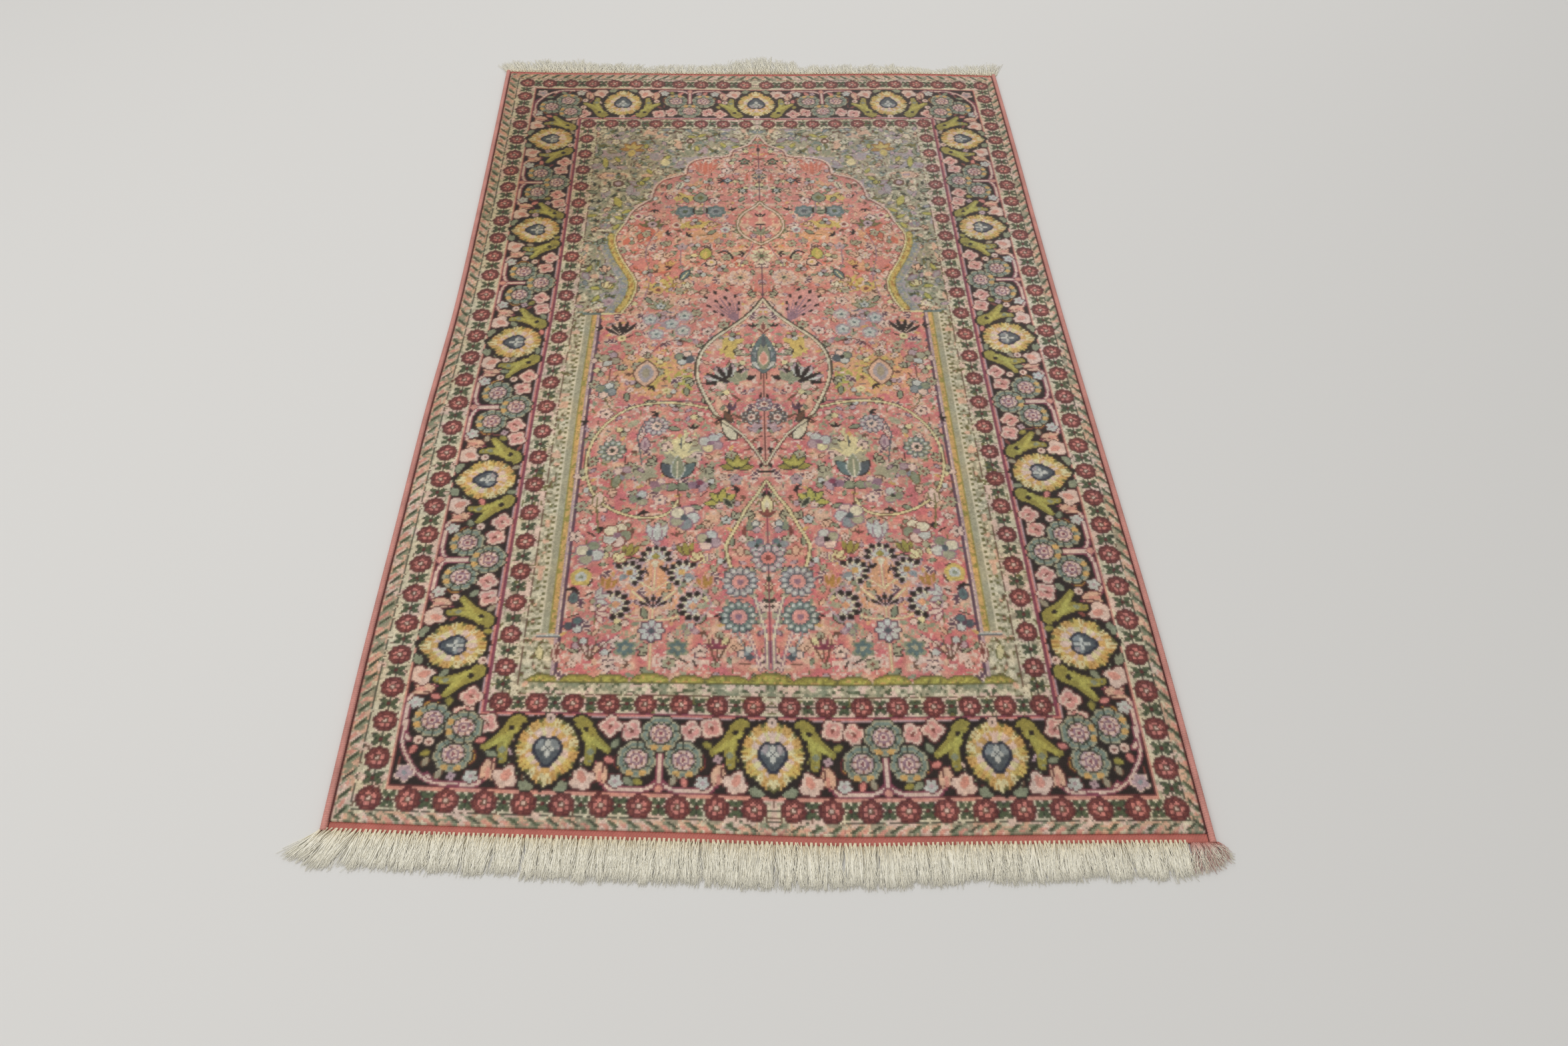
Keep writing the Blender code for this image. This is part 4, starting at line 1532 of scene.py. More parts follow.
    def draw_bushes(self) -> None:
        """Tie the flowering bush on each side of the lower bud."""
        self.chart.stroke(((105, -412), (105, -306)), 2.2, CREAM, SALMON, 0.8)
        for way in (-1, 1):
            for points, *look in (
                (((0, -350), (12, -338), (20, -330)), 1.7, CREAM, SALMON, 0.8),
                (((0, -362), (18, -360), (30, -352)), 1.7, CREAM, SALMON, 0.8),
                (((0, -330), (10, -322), (17, -318)), 1.7, CREAM, SALMON, 0.8),
                (((8, -303), (14, -296), (27, -300), (37, -316), (32, -330)), 1.6, LILAC),
                (((30, -326), (44, -330), (52, -346), (42, -362)), 1.6, LILAC),
            ):
                self.chart.stroke([(105 + way * x, y) for x, y in points], *look)
        star = Bloom(10, 6, ((1.1, CELADON), (0.8, TEAL), (0.3, SAGE)), notch=0.4)
        self.chart.draw((
            (crescent_lily(14, OLIVE, IVORY), 105, -294),
            (crescent_lily(14, OCHRE, STEEL), 130, -311, 140),
            (crescent_lily(14, HONEY, STEEL), 78, -311, 35),
            (crescent_lily(15, APRICOT, SAGE), 141.5, -345, 170),
            (crescent_lily(15, APRICOT, SAGE), 66.5, -347, 0),
            (Fan(Leaf(15, 3.4, INK, LILAC, fullest=0.7, rim=0.8), 5, 120), 105, -349),
            (Bloom(12, 8, ((1.08, PLUM), (0.92, PEARL), (0.3, SLATE)), notch=0.25, split=MAUVE,
                   split_from=0.3), 105, -373),
            (star, 127, -391, 92), (star, 81.5, -391, 88),
            (sprig(9, SAGE, SALMON), 127, -380, 92), (sprig(9, SAGE, SALMON), 81.5, -380, 88),
            (Fan(Leaf(22, 8, PEARL, MAUVE), 3, 50), 105, -274),
            (Fan(Leaf(16, 5.5, OLIVE, BROWN), 3, 60), 131, -291, 100),
            (Fan(Leaf(16, 5.5, OLIVE, BROWN), 3, 60), 76, -291, 80),
            (sprig(13, CREAM, BRICK), 143, -297, 130), (sprig(13, CREAM, BRICK), 63, -297, 50),
            (Fan(Leaf(15, 5.5, OCHRE, SALMON), 3, 60), 148, -328, 100),
            (Fan(Leaf(15, 5.5, OCHRE, SALMON), 3, 60), 57, -328, 80),
            (Fan(Leaf(13, 4.5, PEARL, MAUVE), 3, 100), 157, -338, 160),
            (Fan(Leaf(13, 4.5, SHELL, WINE), 3, 100), 155, -354, 190),
            (posy(14, (IVORY, CELADON, SHELL, PEARL, IVORY), MAUVE, BRICK), 143, -266),
            (posy(13.5, (CELADON, PEARL, SAGE, IVORY), SLATE), 167, -286),
            (Bloom(10.5, 5, ((1, GOLD), (0.55, PEARL), (0.25, CELADON))), 172.5, -314),
            (bud(13, 8, TEAL, SLATE), 177, -343),
            (posy(9, (TEAL, PEARL, SLATE), PLUM, PLUM), 173.5, -367),
            (posy(8, (PEARL, SHELL, LILAC), WINE, WINE), 166, -388),
            (posy(8, (SHELL, PEARL, PEACH), WINE, WINE), 148, -392),
            (Fan(Leaf(28, 1.9, BROWN), 4, 64), 158, -404, 94),
            (posy(7, (PEARL, LILAC, SAGE), MAUVE), 70, -372, 60),
        ))

    def draw_hills(self) -> None:
        """Tie the row of small hills that the field grows from, and the band under them."""
        chart = self.chart
        knots, y, off = chart.knots, chart.along, chart.off
        low, high = self.foot - 11, self.foot
        band = (self.depth >= self.border_depth) & (y >= low - 3) & (y < high + 1) & (off < 206)
        fine, middling = chart.mottles((2.6, 33), (7, 34))
        chart.tie(band, (
            (SAGE,), (SHELL, (middling, 0.6)), (LEAF, (fine, 0, 0.34)), (IVORY, (fine, 0.7)),
            (CELADON, (middling, 0, 0.34), (fine, 0, 0.5)),
        ))
        # Each hill's middle, half width and height
        for x, half, height in ((0, 19, 9), (38, 19, 6.5), (71, 15, 6), (104, 16.5, 7.5),
                                (138, 16, 6.5), (166, 14.5, 6.5), (196, 13, 6)):
            rise = self.foot + height * np.sqrt(np.clip(1 - ((off - x) / half) ** 2, 0, 1))
            hill = (np.abs(off - x) < half) & (y > high - 0.5)
            knots[hill & (y < rise + 1.6)] = MOSS
            knots[hill & (y < rise)] = OLIVE
            knots[hill & (y < rise - 2) & (fine > 0.4)] = LIME
            knots[hill & (y < rise - 1) & (fine > 0.78)] = HONEY
            knots[hill & (y < rise - 1) & (fine < 0.16)] = MOSS
        knots[(np.abs(y - high + 0.4) < 0.8) & (off < 208)] = MOSS


def build_chart() -> Chart:
    """Draw the whole design.

    Returns:
        The finished chart.
    """
    chart = Chart(left=-348.7, right=341.2, near=-555.5, far=551.3, pitch=1.5)
    borders = BorderDesign(chart)
    borders.draw()
    FieldDesign(chart, borders.depths()[0]).draw()
    return chart


@dataclass(frozen=True)
class PaintedNapSheen:
    """Painted sheen and shade from the silk's nap: a pale veil, strongest at the far end, and patches."""

    # The painted sheen's pale veil that every dye is mixed towards, and its share at the near and far end
    veil: Triple = (158, 138, 116)
    near_share: float = 0.06
    far_share: float = 0.15
    # Patches of painted sheen and shade, in the rug's millimetres: x, y, reach each way, brightness,
    # warmth, extra veil
    patches: tuple[tuple[float, ...], ...] = (
        (-290, 330, 110, 210, -0.21, 0.1, -0.12), (-300, 560, 130, 60, -0.08, 0.04, -0.04),
        (190, 330, 110, 130, 0.02, -0.03, 0.1), (0, 560, 260, 80, -0.01, 0, 0.05),
        (300, 420, 60, 160, -0.04, 0.02, -0.06), (-160, 330, 60, 90, -0.1, 0.05, 0),
        (0, 150, 150, 60, 0, 0.05, -0.06), (300, 50, 60, 220, 0.05, -0.03, 0.04),
        (0, -460, 360, 90, -0.02, 0, -0.04),
    )

    def apply(self, chart: Chart, colours: Array) -> Array:
        """Paint the nap's sheen and shade into the clean dyes.

        Args:
            chart: the chart, for where its knots are.
            colours: a display colour from 0 to 255 for each knot.

        Returns:
            The colours with the painted sheen and shade.
        """
        share = ease(chart.y[0], chart.y[-1], chart.along)
        sheen_veil = self.near_share + (self.far_share - self.near_share) * share
        light, warmth = np.ones(share.shape), np.zeros(share.shape)
        for x, y, across, along, brighter, warmer, extra_veil in self.patches:
            near_by = np.exp(-((chart.across - x) / across) ** 2 - ((chart.along - y) / along) ** 2)
            light += brighter * near_by
            warmth += warmer * near_by
            sheen_veil = sheen_veil + extra_veil * near_by
        # Painted sheen: mix towards the pale veil, then lay on the painted light and dark patches
        sheened = colours + (np.array(self.veil) - colours) * np.clip(sheen_veil, 0.0, 0.8)[..., None]
        tint = np.stack([1 + 0.5 * warmth, np.ones(share.shape), 1 - warmth], axis=-1)
        return sheened * tint * light[..., None]


def knot_colours(chart: Chart) -> Array:
    """Work out the colour of every knot: its dye, the painted sheen and shade of the nap, and the uneven
    dyeing.

    Args:
        chart: the finished chart.

    Returns:
        Linear colours, one row of the chart after another.
    """
    dice = np.random.default_rng(41)
    palette = np.array([dye.colour for dye in Dye], float)
    shape = chart.knots.shape
    colours = PaintedNapSheen().apply(chart, palette[chart.knots])
    tone = 1.0 + 0.06 * dice.standard_normal(shape) + 0.07 * (chart.mottle(5.0, 61, folded=False) - 0.5)
    tone *= 1.0 + 0.07 * (chart.mottle(60.0, 62, folded=False) - 0.5)
    colours = colours * np.clip(tone, 0.6, 1.4)[..., None]
    warmth = 0.05 * (chart.mottle(14.0, 63, folded=False) - 0.5)
    colours = colours * np.stack([1 + warmth, np.ones(shape), 1 - warmth], axis=-1)
    return linear(np.clip(colours, 0.0, 255.0))


# Finishes


@dataclass
class NodeDesk:
    """The nodes of one material and the links between them."""

    tree: bpy.types.NodeTree

    def feed(self, node: bpy.types.Node, inputs: dict) -> None:
        """Set a node's inputs.

        Args:
            node: the node.
            inputs: values, or the sockets that are linked to them.
        """
        for key, value in inputs.items():
            if isinstance(value, Socket):
                self.tree.links.new(value, node.inputs[key])
            else:
                node.inputs[key].default_value = value

    def add(self, kind: str, output: str, inputs: dict, **settings: str) -> Socket:
        """Add a node.

        Args:
            kind: which shader node it is.
            output: which of its outputs is wanted.
            inputs: its inputs, as values or sockets.
            settings: what else is set on it.

        Returns:
            The output.
        """
        node = self.tree.nodes.new("ShaderNode" + kind)
        for key, value in settings.items():
            setattr(node, key, value)
        self.feed(node, inputs)
        return node.outputs[output]

    def reckon(self, operation: str, *values: float | Socket) -> Socket:
        """Add a node that works out one sum."""
        return self.add("Math", "Value", dict(enumerate(values)), operation=operation)


@dataclass(frozen=True)
class YarnFinish:
    """A finish whose colours are written on the mesh and whose relief comes from its threads."""

    name: str
    roughness: float
    sheen: float
    relief_scale: float
    relief_depth: float = 0.0003
    shine: float = 0.2
    unevenness: float = 0.12
    rough_spread: float = 0.12
    knots: bool = False
    bump_strength: float = 0.6
    sheen_roughness: float = 0.45

    def material(self) -> bpy.types.Material:
        """Make the material, unless it is made already.

        Returns:
            The material.
        """
        made = bpy.data.materials.get(self.name)
        if made is not None:
            return made
        made = bpy.data.materials.new(self.name)
        made.use_nodes = True
        desk = NodeDesk(made.node_tree)
        dye = desk.add("Attribute", "Color", {}, attribute_name="dye")
        place = desk.add("TexCoord", "Object", {})
        fibre = desk.add("TexNoise", "Fac", {"Scale": self.relief_scale, "Detail": 3.0, "Vector": place})
        tone = desk.add("MapRange", "Result", {
            "From Min": 0.3, "From Max": 0.7, "To Min": 1.0 - self.unevenness,
            "To Max": 1.0 + self.unevenness, "Value": fibre,
        })
        shade = desk.add("VectorMath", "Vector", {0: dye, "Scale": tone}, operation="SCALE")
        rough = desk.add("MapRange", "Result", {
            "To Min": self.roughness - self.rough_spread, "To Max": self.roughness + self.rough_spread,
            "Value": fibre,
        })
        height = self.knot_relief(desk, fibre) if self.knots else fibre
        bump = desk.add("Bump", "Normal", {
            "Strength": self.bump_strength, "Distance": self.relief_depth, "Height": height,
        })
        desk.feed(made.node_tree.nodes["Principled BSDF"], {
            "Metallic": 0.0, "Specular IOR Level": self.shine, "Sheen Weight": self.sheen,
            "Sheen Roughness": self.sheen_roughness, "Base Color": shade, "Roughness": rough,
            "Normal": bump,
        })
        return made

    def knot_relief(self, desk: NodeDesk, fibre: Socket) -> Socket:
        """Raise a small dome over every knot, from the map that counts them.

        Args:
            desk: the material's nodes.
            fibre: the height of the fibres.

        Returns:
            The height of domes and fibres together.
        """
        loom = desk.add("UVMap", "UV", {}, uv_map="loom")
        counts = desk.add("SeparateXYZ", "X", {"Vector": loom}).node.outputs
        turns = [desk.reckon("MULTIPLY", counts[axis], math.pi) for axis in ("X", "Y")]
        waves = [desk.reckon("ABSOLUTE", desk.reckon("SINE", turn)) for turn in turns]
        return desk.reckon("ADD", desk.reckon("MULTIPLY", *waves), fibre)


SILK = YarnFinish("silk_pile_knots", 0.60, 0.03, 900.0, unevenness=0.10, knots=True)
CORD_WOOL = YarnFinish("selvedge_overcast", 0.75, 0.04, 700.0)
WEB_WOOL = YarnFinish("end_web_weave", 0.80, 0.03, 800.0)
COTTON = YarnFinish("fringe_cotton_strands", 0.85, 0.10, 900.0, 0.0002, unevenness=0.06)
LOOSE_YARN = YarnFinish("loose_yarn_strands", 0.80, 0.10, 900.0, 0.0002)
GROUND_COTTON = YarnFinish("ground_weave_cotton", 0.88, 0.05, 700.0)


def paint(mesh: Mesh, colours: Array, domain: str) -> None:
    """Write linear colours on a mesh, where the finishes read them.

    Args:
        mesh: the mesh.
        colours: one row for each vertex, or one for each corner.
        domain: POINT or CORNER.
    """
    layer = mesh.color_attributes.new("dye", "FLOAT_COLOR", domain)
    full = np.ones((len(layer.data), 4), np.float32)
    full[:, :3] = colours
    layer.data.foreach_set("color", full.ravel())


def finish_piece(name: str, mesh: Mesh, finish: YarnFinish, node: str) -> Piece:
    """Put a mesh in the scene as a piece of the rug that stands for a CAD node.

    Args:
        name: the piece's name.
        mesh: its mesh, in the rug's frame.
        finish: its finish.
        node: the CAD node that it stands for.

    Returns:
        The piece.
    """
    mesh.materials.append(finish.material())
    mesh.polygons.foreach_set("use_smooth", np.ones(len(mesh.polygons), bool))
    piece = bpy.data.objects.new(name, mesh)
    bpy.context.scene.collection.objects.link(piece)
    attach(piece, "root")
    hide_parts(node)
    LOG.info("%s: %d faces, for %s", name, len(mesh.polygons), node)
    return piece


def vertex_places(mesh: Mesh) -> Array:
    """Read the places of a mesh's vertices.

    Args:
        mesh: the mesh.

    Returns:
        The places, one row each.
    """
    places = np.empty(len(mesh.vertices) * 3, np.float32)
    mesh.vertices.foreach_get("co", places)
    return places.reshape(-1, 3).astype(float)


def write_places(mesh: Mesh, places: Array) -> None:
    """Write vertex places back to a mesh."""
    mesh.vertices.foreach_set("co", places.astype(np.float32).ravel())
    mesh.update()


def unit_grid(across: int, along: int) -> bmesh.types.BMesh:
    """Make a flat grid that goes from 0 to 1 each way.

    Args:
        across: how many cells it has in x.
        along: how many in y.

    Returns:
        The grid.
    """
    bm = bmesh.new()
    bmesh.ops.create_grid(bm, x_segments=across, y_segments=along, size=0.5)
    bmesh.ops.translate(bm, verts=bm.verts, vec=(0.5, 0.5, 0.0))
    return bm


def lift(bm: bmesh.types.BMesh, grown: Sequence, height: float) -> None:
    """Raise what has just been grown, and turn all faces outwards.

    Args:
        bm: the grid.
        grown: its new parts.
        height: how far they go up.
    """
    moved = [item for item in grown if isinstance(item, bmesh.types.BMVert)]
    bmesh.ops.translate(bm, verts=moved, vec=(0.0, 0.0, height))
    bmesh.ops.recalc_face_normals(bm, faces=bm.faces)


def take_mesh(name: str, bm: bmesh.types.BMesh) -> Mesh:
    """Turn a worked grid into a mesh, and let go of the grid.

    Args:
        name: the mesh's name.
        bm: the grid.

    Returns:
        The mesh.
    """
    mesh = bpy.data.meshes.new(name)
    bm.to_mesh(mesh)
    bm.free()
    return mesh


def unit_slab(name: str, across: int, along: int, thickness: float) -> Mesh:
    """Make a closed slab over a unit grid.

    Args:
        name: the mesh's name.
        across: how many cells it has in x.
        along: how many in y.
        thickness: how thick it is.

    Returns:
        The slab.
    """
    bm = unit_grid(across, along)
    lift(bm, bmesh.ops.extrude_face_region(bm, geom=list(bm.faces))["geom"], thickness)
    return take_mesh(name, bm)


# The pile and its ground weave


@dataclass
class Pile:
    """The knotted pile, in strips that run the rug's whole length, over a closed ground weave."""

    outline: Outline
    chart: Chart
    strips: int = 5
    top: float = 0.0050
    foot: float = 0.0006
    ground_top: float = 0.0034
    wave: float = 0.00035
    tuft_height: float = 0.00010
    # How far the rim of the pile rolls down, and over how many knots
    roll: float = 0.0009
    roll_reach: float = 1.2
    # How much smaller than the pile the ground weave is, on each side
    ground_inset: float = 0.0005
    ground_colour: Colour = (196, 176, 140)
    # How far the silk ends of neighbouring knots mix, from 0 to 1
    blending: float = 0.55
    pieces: list[Piece] = field(default_factory=list)

    def place(self, across: Array, along: Array) -> tuple[Array, Array]:
        """Find where shares of the knotted width and length lie on the cloth.

        Args:
            across: shares of the width, from 0 to 1.
            along: shares of the length.

        Returns:
            Their x and y.
        """
        plan = self.outline
        inset = plan.selvedge_width + plan.gap
        margin = plan.web_width + plan.gap
        low, high = plan.plan_left + inset, plan.plan_right - inset
        near, far = plan.plan_near + margin, plan.plan_far - margin
        return plan.settle(low + (high - low) * across, near + (far - near) * along)

    def build(self) -> list[Piece]:
        """Make the strips and the ground weave.

        Returns:
            The strips, then the ground weave.
        """
        colours = knot_colours(self.chart)
        bounds = np.linspace(0, self.chart.columns, self.strips + 1).round().astype(int)
        framed = np.pad(colours, ((1, 1), (1, 1), (0, 0)), mode="edge")
        shared = (framed[1:, 1:] + framed[:-1, 1:] + framed[1:, :-1] + framed[:-1, :-1]) / 4
        dice = np.random.default_rng(7)
        jitter = dice.standard_normal((self.chart.rows + 1, self.chart.columns + 1)) * self.tuft_height
        for index, (first, last) in enumerate(zip(bounds, bounds[1:])):
            self.pieces.append(self.strip(index + 1, first, last, colours, shared, jitter))
        self.pieces.append(self.ground())
        return self.pieces

    def strip(self, number: int, first: int, last: int, colours: Array, shared: Array,
              jitter: Array) -> Piece:
        """Make one strip of knots, each knot one face, with its outer sides turned down.

        Args:
            number: the strip's number from the left.
            first: its first column of knots.
            last: the column after its last one.
            colours: the colours of all knots.
            shared: the mean colour where knots meet.
            jitter: how far each corner between knots stands out.

        Returns:
            The strip.
        """
        rows, columns = self.chart.rows, self.chart.columns
        bm = unit_grid(last - first, rows)
        outer = [item for item in bm.edges if item.is_boundary and self.is_rim(item, number)]
        lift(bm, bmesh.ops.extrude_edge_only(bm, edges=outer)["geom"], -1.0)
        mesh = take_mesh(f"pile_{number}", bm)
        places = vertex_places(mesh)
        column = np.rint(places[:, 0] * (last - first)).astype(int) + first
        row = np.rint(places[:, 1] * rows).astype(int)
        hanging = places[:, 2] < -0.5
        x, y = self.place(column / columns, row / rows)
        inwards = np.minimum(np.minimum(column, columns - column), np.minimum(row, rows - row))
        rolled = self.roll * np.exp(-inwards / self.roll_reach)
        height = self.top + self.swell(x, y) + jitter[row, column] - rolled
        write_places(mesh, np.column_stack([x, y, np.where(hanging, self.foot, height)]))
        corners = np.empty(len(mesh.loops), np.int32)
        mesh.loops.foreach_get("vertex_index", corners)
        starts = np.empty(len(mesh.polygons), np.int32)
        mesh.polygons.foreach_get("loop_start", starts)
        knot_column = column[corners].reshape(-1, 4).min(1).clip(0, columns - 1)
        knot_row = row[corners].reshape(-1, 4).min(1).clip(0, rows - 1)
        own = np.repeat(colours[knot_row, knot_column], 4, axis=0)
        paint(mesh, own + self.blending * (shared[row[corners], column[corners]] - own), "CORNER")
        loom = np.column_stack([column[corners], row[corners]]).astype(np.float32)
        mesh.uv_layers.new(name="loom").data.foreach_set("uv", loom.ravel())
        return finish_piece(f"pile_{number}", mesh, SILK, "rug_body")

    def is_rim(self, edge: bmesh.types.BMEdge, number: int) -> bool:
        """Tell whether a strip's edge lies on the rug's own rim and not beside the next strip.

        Args:
            edge: the edge.
            number: the strip's number.

        Returns:
            True if it does.
        """
        middle = (edge.verts[0].co + edge.verts[1].co) / 2
        end = min(middle.y, 1.0 - middle.y) < 1e-5
        return end or (number == 1 and middle.x < 1e-5) or (number == self.strips and middle.x > 1.0 - 1e-5)

    def swell(self, x: Array, y: Array) -> Array:
        """Return how far the cloth's slow waves lift the pile at each place."""
        return self.wave * (np.sin(23.0 * x + 9.0 * y) + np.sin(31.0 * y - 11.0 * x + 1.7)
                            + 0.6 * np.sin(57.0 * x + 41.0 * y)) / 2.6

    def ground(self) -> Piece:
        """Make the closed slab of warps and wefts that the knots are tied on.

        Returns:
            The ground weave.
        """
        mesh = unit_slab("ground_weave", 30, 50, self.ground_top)
        places = vertex_places(mesh)
        share = self.ground_inset + (1 - 2 * self.ground_inset) * places
        x, y = self.place(share[:, 0], share[:, 1])
        write_places(mesh, np.column_stack([x, y, places[:, 2]]))
        paint(mesh, np.tile(linear(self.ground_colour), (len(mesh.vertices), 1)), "POINT")
        return finish_piece("ground_weave", mesh, GROUND_COTTON, "rug_body")


# Selvedges and end webs


@dataclass
class Selvedge:
    """The round cord along one long side, overcast with red yarn."""

    outline: Outline
    name: str
    node: str
    side: Curve
    inward: float
    top: float = 0.0054
    turn_pitch: float = 0.0019
    sides: int = 7
    turn_depth: float = 0.10
    colour: Colour = (210, 146, 134)

    def build(self) -> Piece:
        """Roll a grid into the cord, swell it at every turn of the yarn and close its ends.

        Returns:
            The cord.
        """
        plan = self.outline
        first, last = (float(self.side(np.array(plan.side_rows[end][0]))) for end in (0, -1))
        width = plan.selvedge_width
        start = max(float(plan.near(np.array(first + inset))) for inset in (0.0, self.inward * width))
        stop = min(float(plan.far(np.array(last + inset))) for inset in (0.0, self.inward * width))
        turns = round((stop - start) / self.turn_pitch)
        bm = bmesh.new()
        bmesh.ops.create_grid(bm, x_segments=self.sides, y_segments=turns * 3, size=0.5)
        turn_of = {}
        for vert in bm.verts:
            around, along = vert.co.x + 0.5, vert.co.y + 0.5
            # The turns of yarn lie aslant, so the ridge comes round later on one side
            ridge = math.cos(2 * math.pi * (along * turns + around))
            grown = 1.0 - self.turn_depth / 2 + self.turn_depth / 2 * ridge
            angle = 2 * math.pi * around
            y = start + (stop - start) * along
            middle = float(self.side(np.array(y))) + self.inward * width / 2
            upward = min(max(0.5 + 0.56 * math.sin(angle) * grown, 0.0), 1.0)
            turn_of[vert] = (ridge, along)
            vert.co = (middle + 0.5 * width * math.cos(angle) * grown, y, upward * self.top)
        bmesh.ops.remove_doubles(bm, verts=bm.verts, dist=1e-6)
        bmesh.ops.holes_fill(bm, edges=[item for item in bm.edges if item.is_boundary], sides=0)
        bmesh.ops.recalc_face_normals(bm, faces=bm.faces)
        bm.verts.index_update()
        ridge, along = np.array([turn_of[vert] for vert in bm.verts]).T
        mesh = take_mesh(self.name, bm)
        paint(mesh, self.colours(ridge, along), "POINT")
        return finish_piece(self.name, mesh, CORD_WOOL, self.node)

    def colours(self, ridge: Array, along: Array) -> Array:
        """Colour the yarn: painted shade between its turns, and a little uneven along the cord.

        Args:
            ridge: from -1 between two turns to +1 on a turn.
            along: each place's share of the cord's length.

        Returns:
            Linear colours.
        """
        dice = np.random.default_rng(13)
        patchy = np.interp(along * 90.0, np.arange(92), dice.random(92))
        # Painted shade in the grooves between the turns, times the uneven dyeing along the cord
        shade = (0.86 + 0.14 * ridge) * (0.88 + 0.24 * patchy)
        return linear(self.colour) * shade[:, None]


@dataclass
class EndWeb:
    """The flat band of weft-faced weave past the last knots at one end."""

    outline: Outline
    name: str
    node: str
    edge: Curve
    inward: float
    top: float = 0.0028
    ribs: int = 300
    picks: int = 4
    rib_depth: float = 0.0003
    colour: Colour = (190, 112, 100)

    def build(self) -> Piece:
        """Make the band, with a rib over each pair of warps.

        Returns:
            The band.
        """
        plan = self.outline
        mesh = unit_slab(self.name, self.ribs * 2, self.picks, 1.0)
        places = vertex_places(mesh)
        rib = np.rint(places[:, 0] * self.ribs * 2).astype(int) % 2
        pick = np.rint(places[:, 1] * self.picks).astype(int)
        depth = plan.web_width * places[:, 1]
        inset = plan.selvedge_width + plan.gap
        x = np.zeros(len(places))
        y = self.edge(x)
        for _ in range(3):
            low, high = plan.left(y) + inset, plan.right(y) - inset
            x = low + (high - low) * places[:, 0]
            y = self.edge(x) + self.inward * depth
        sunk = rib ^ (pick % 2)
        height = (self.top - self.rib_depth * sunk) * places[:, 2]
        write_places(mesh, np.column_stack([x, y, height]))
        dice = np.random.default_rng(17)
        patchy = np.interp((x + 0.4) * 150.0, np.arange(122), dice.random(122))
        # Uneven dyeing, times painted shade on the picks that sink between the ribs
        shade = (0.90 + 0.20 * patchy) * (1.0 - 0.10 * sunk)
        paint(mesh, linear(self.colour) * shade[:, None], "POINT")
        return finish_piece(self.name, mesh, WEB_WOOL, self.node)


# Fringes and the loose tuft


def strand_mesh(name: str, lines: Array, radii: Array, colours: Array,
                widths: Array) -> Mesh:
    """Join many thin closed strands into one mesh.

    Args:
        name: the mesh's name.
        lines: the middle line of each strand, as strands by rings by x, y and z.
        radii: each ring's radius.
        colours: each ring's linear colour.
        widths: how many times as wide as high each strand is.

    Returns:
        The mesh, painted.
    """
    sides = 3
    strands, rings = radii.shape
    ahead = np.gradient(lines, axis=1)
    ahead /= np.linalg.norm(ahead, axis=2, keepdims=True)
    aside = np.cross(ahead, (0.0, 0.0, 1.0))
    aside /= np.linalg.norm(aside, axis=2, keepdims=True)
    above = np.cross(aside, ahead)
    aside = aside * widths[:, None, None]
    angle = 2 * math.pi * (np.arange(sides) + 0.5) / sides
    spoke = (np.cos(angle)[:, None] * aside[:, :, None, :] + np.sin(angle)[:, None] * above[:, :, None, :])
    places = (lines[:, :, None, :] + spoke * radii[:, :, None, None]).reshape(-1, 3)
    number = np.arange(strands * rings * sides).reshape(strands, rings, sides)
    following = np.roll(number, -1, axis=2)
    walls = np.stack([number[:, :-1], following[:, :-1], following[:, 1:], number[:, 1:]], axis=-1)
    caps = np.concatenate([number[:, 0, ::-1], number[:, -1]])
    faces = walls.reshape(-1, 4).tolist() + caps.tolist()
    mesh = bpy.data.meshes.new(name)
    mesh.from_pydata(places.tolist(), [], faces)
    paint(mesh, np.repeat(colours.reshape(-1, 3), sides, axis=0), "POINT")
    return mesh


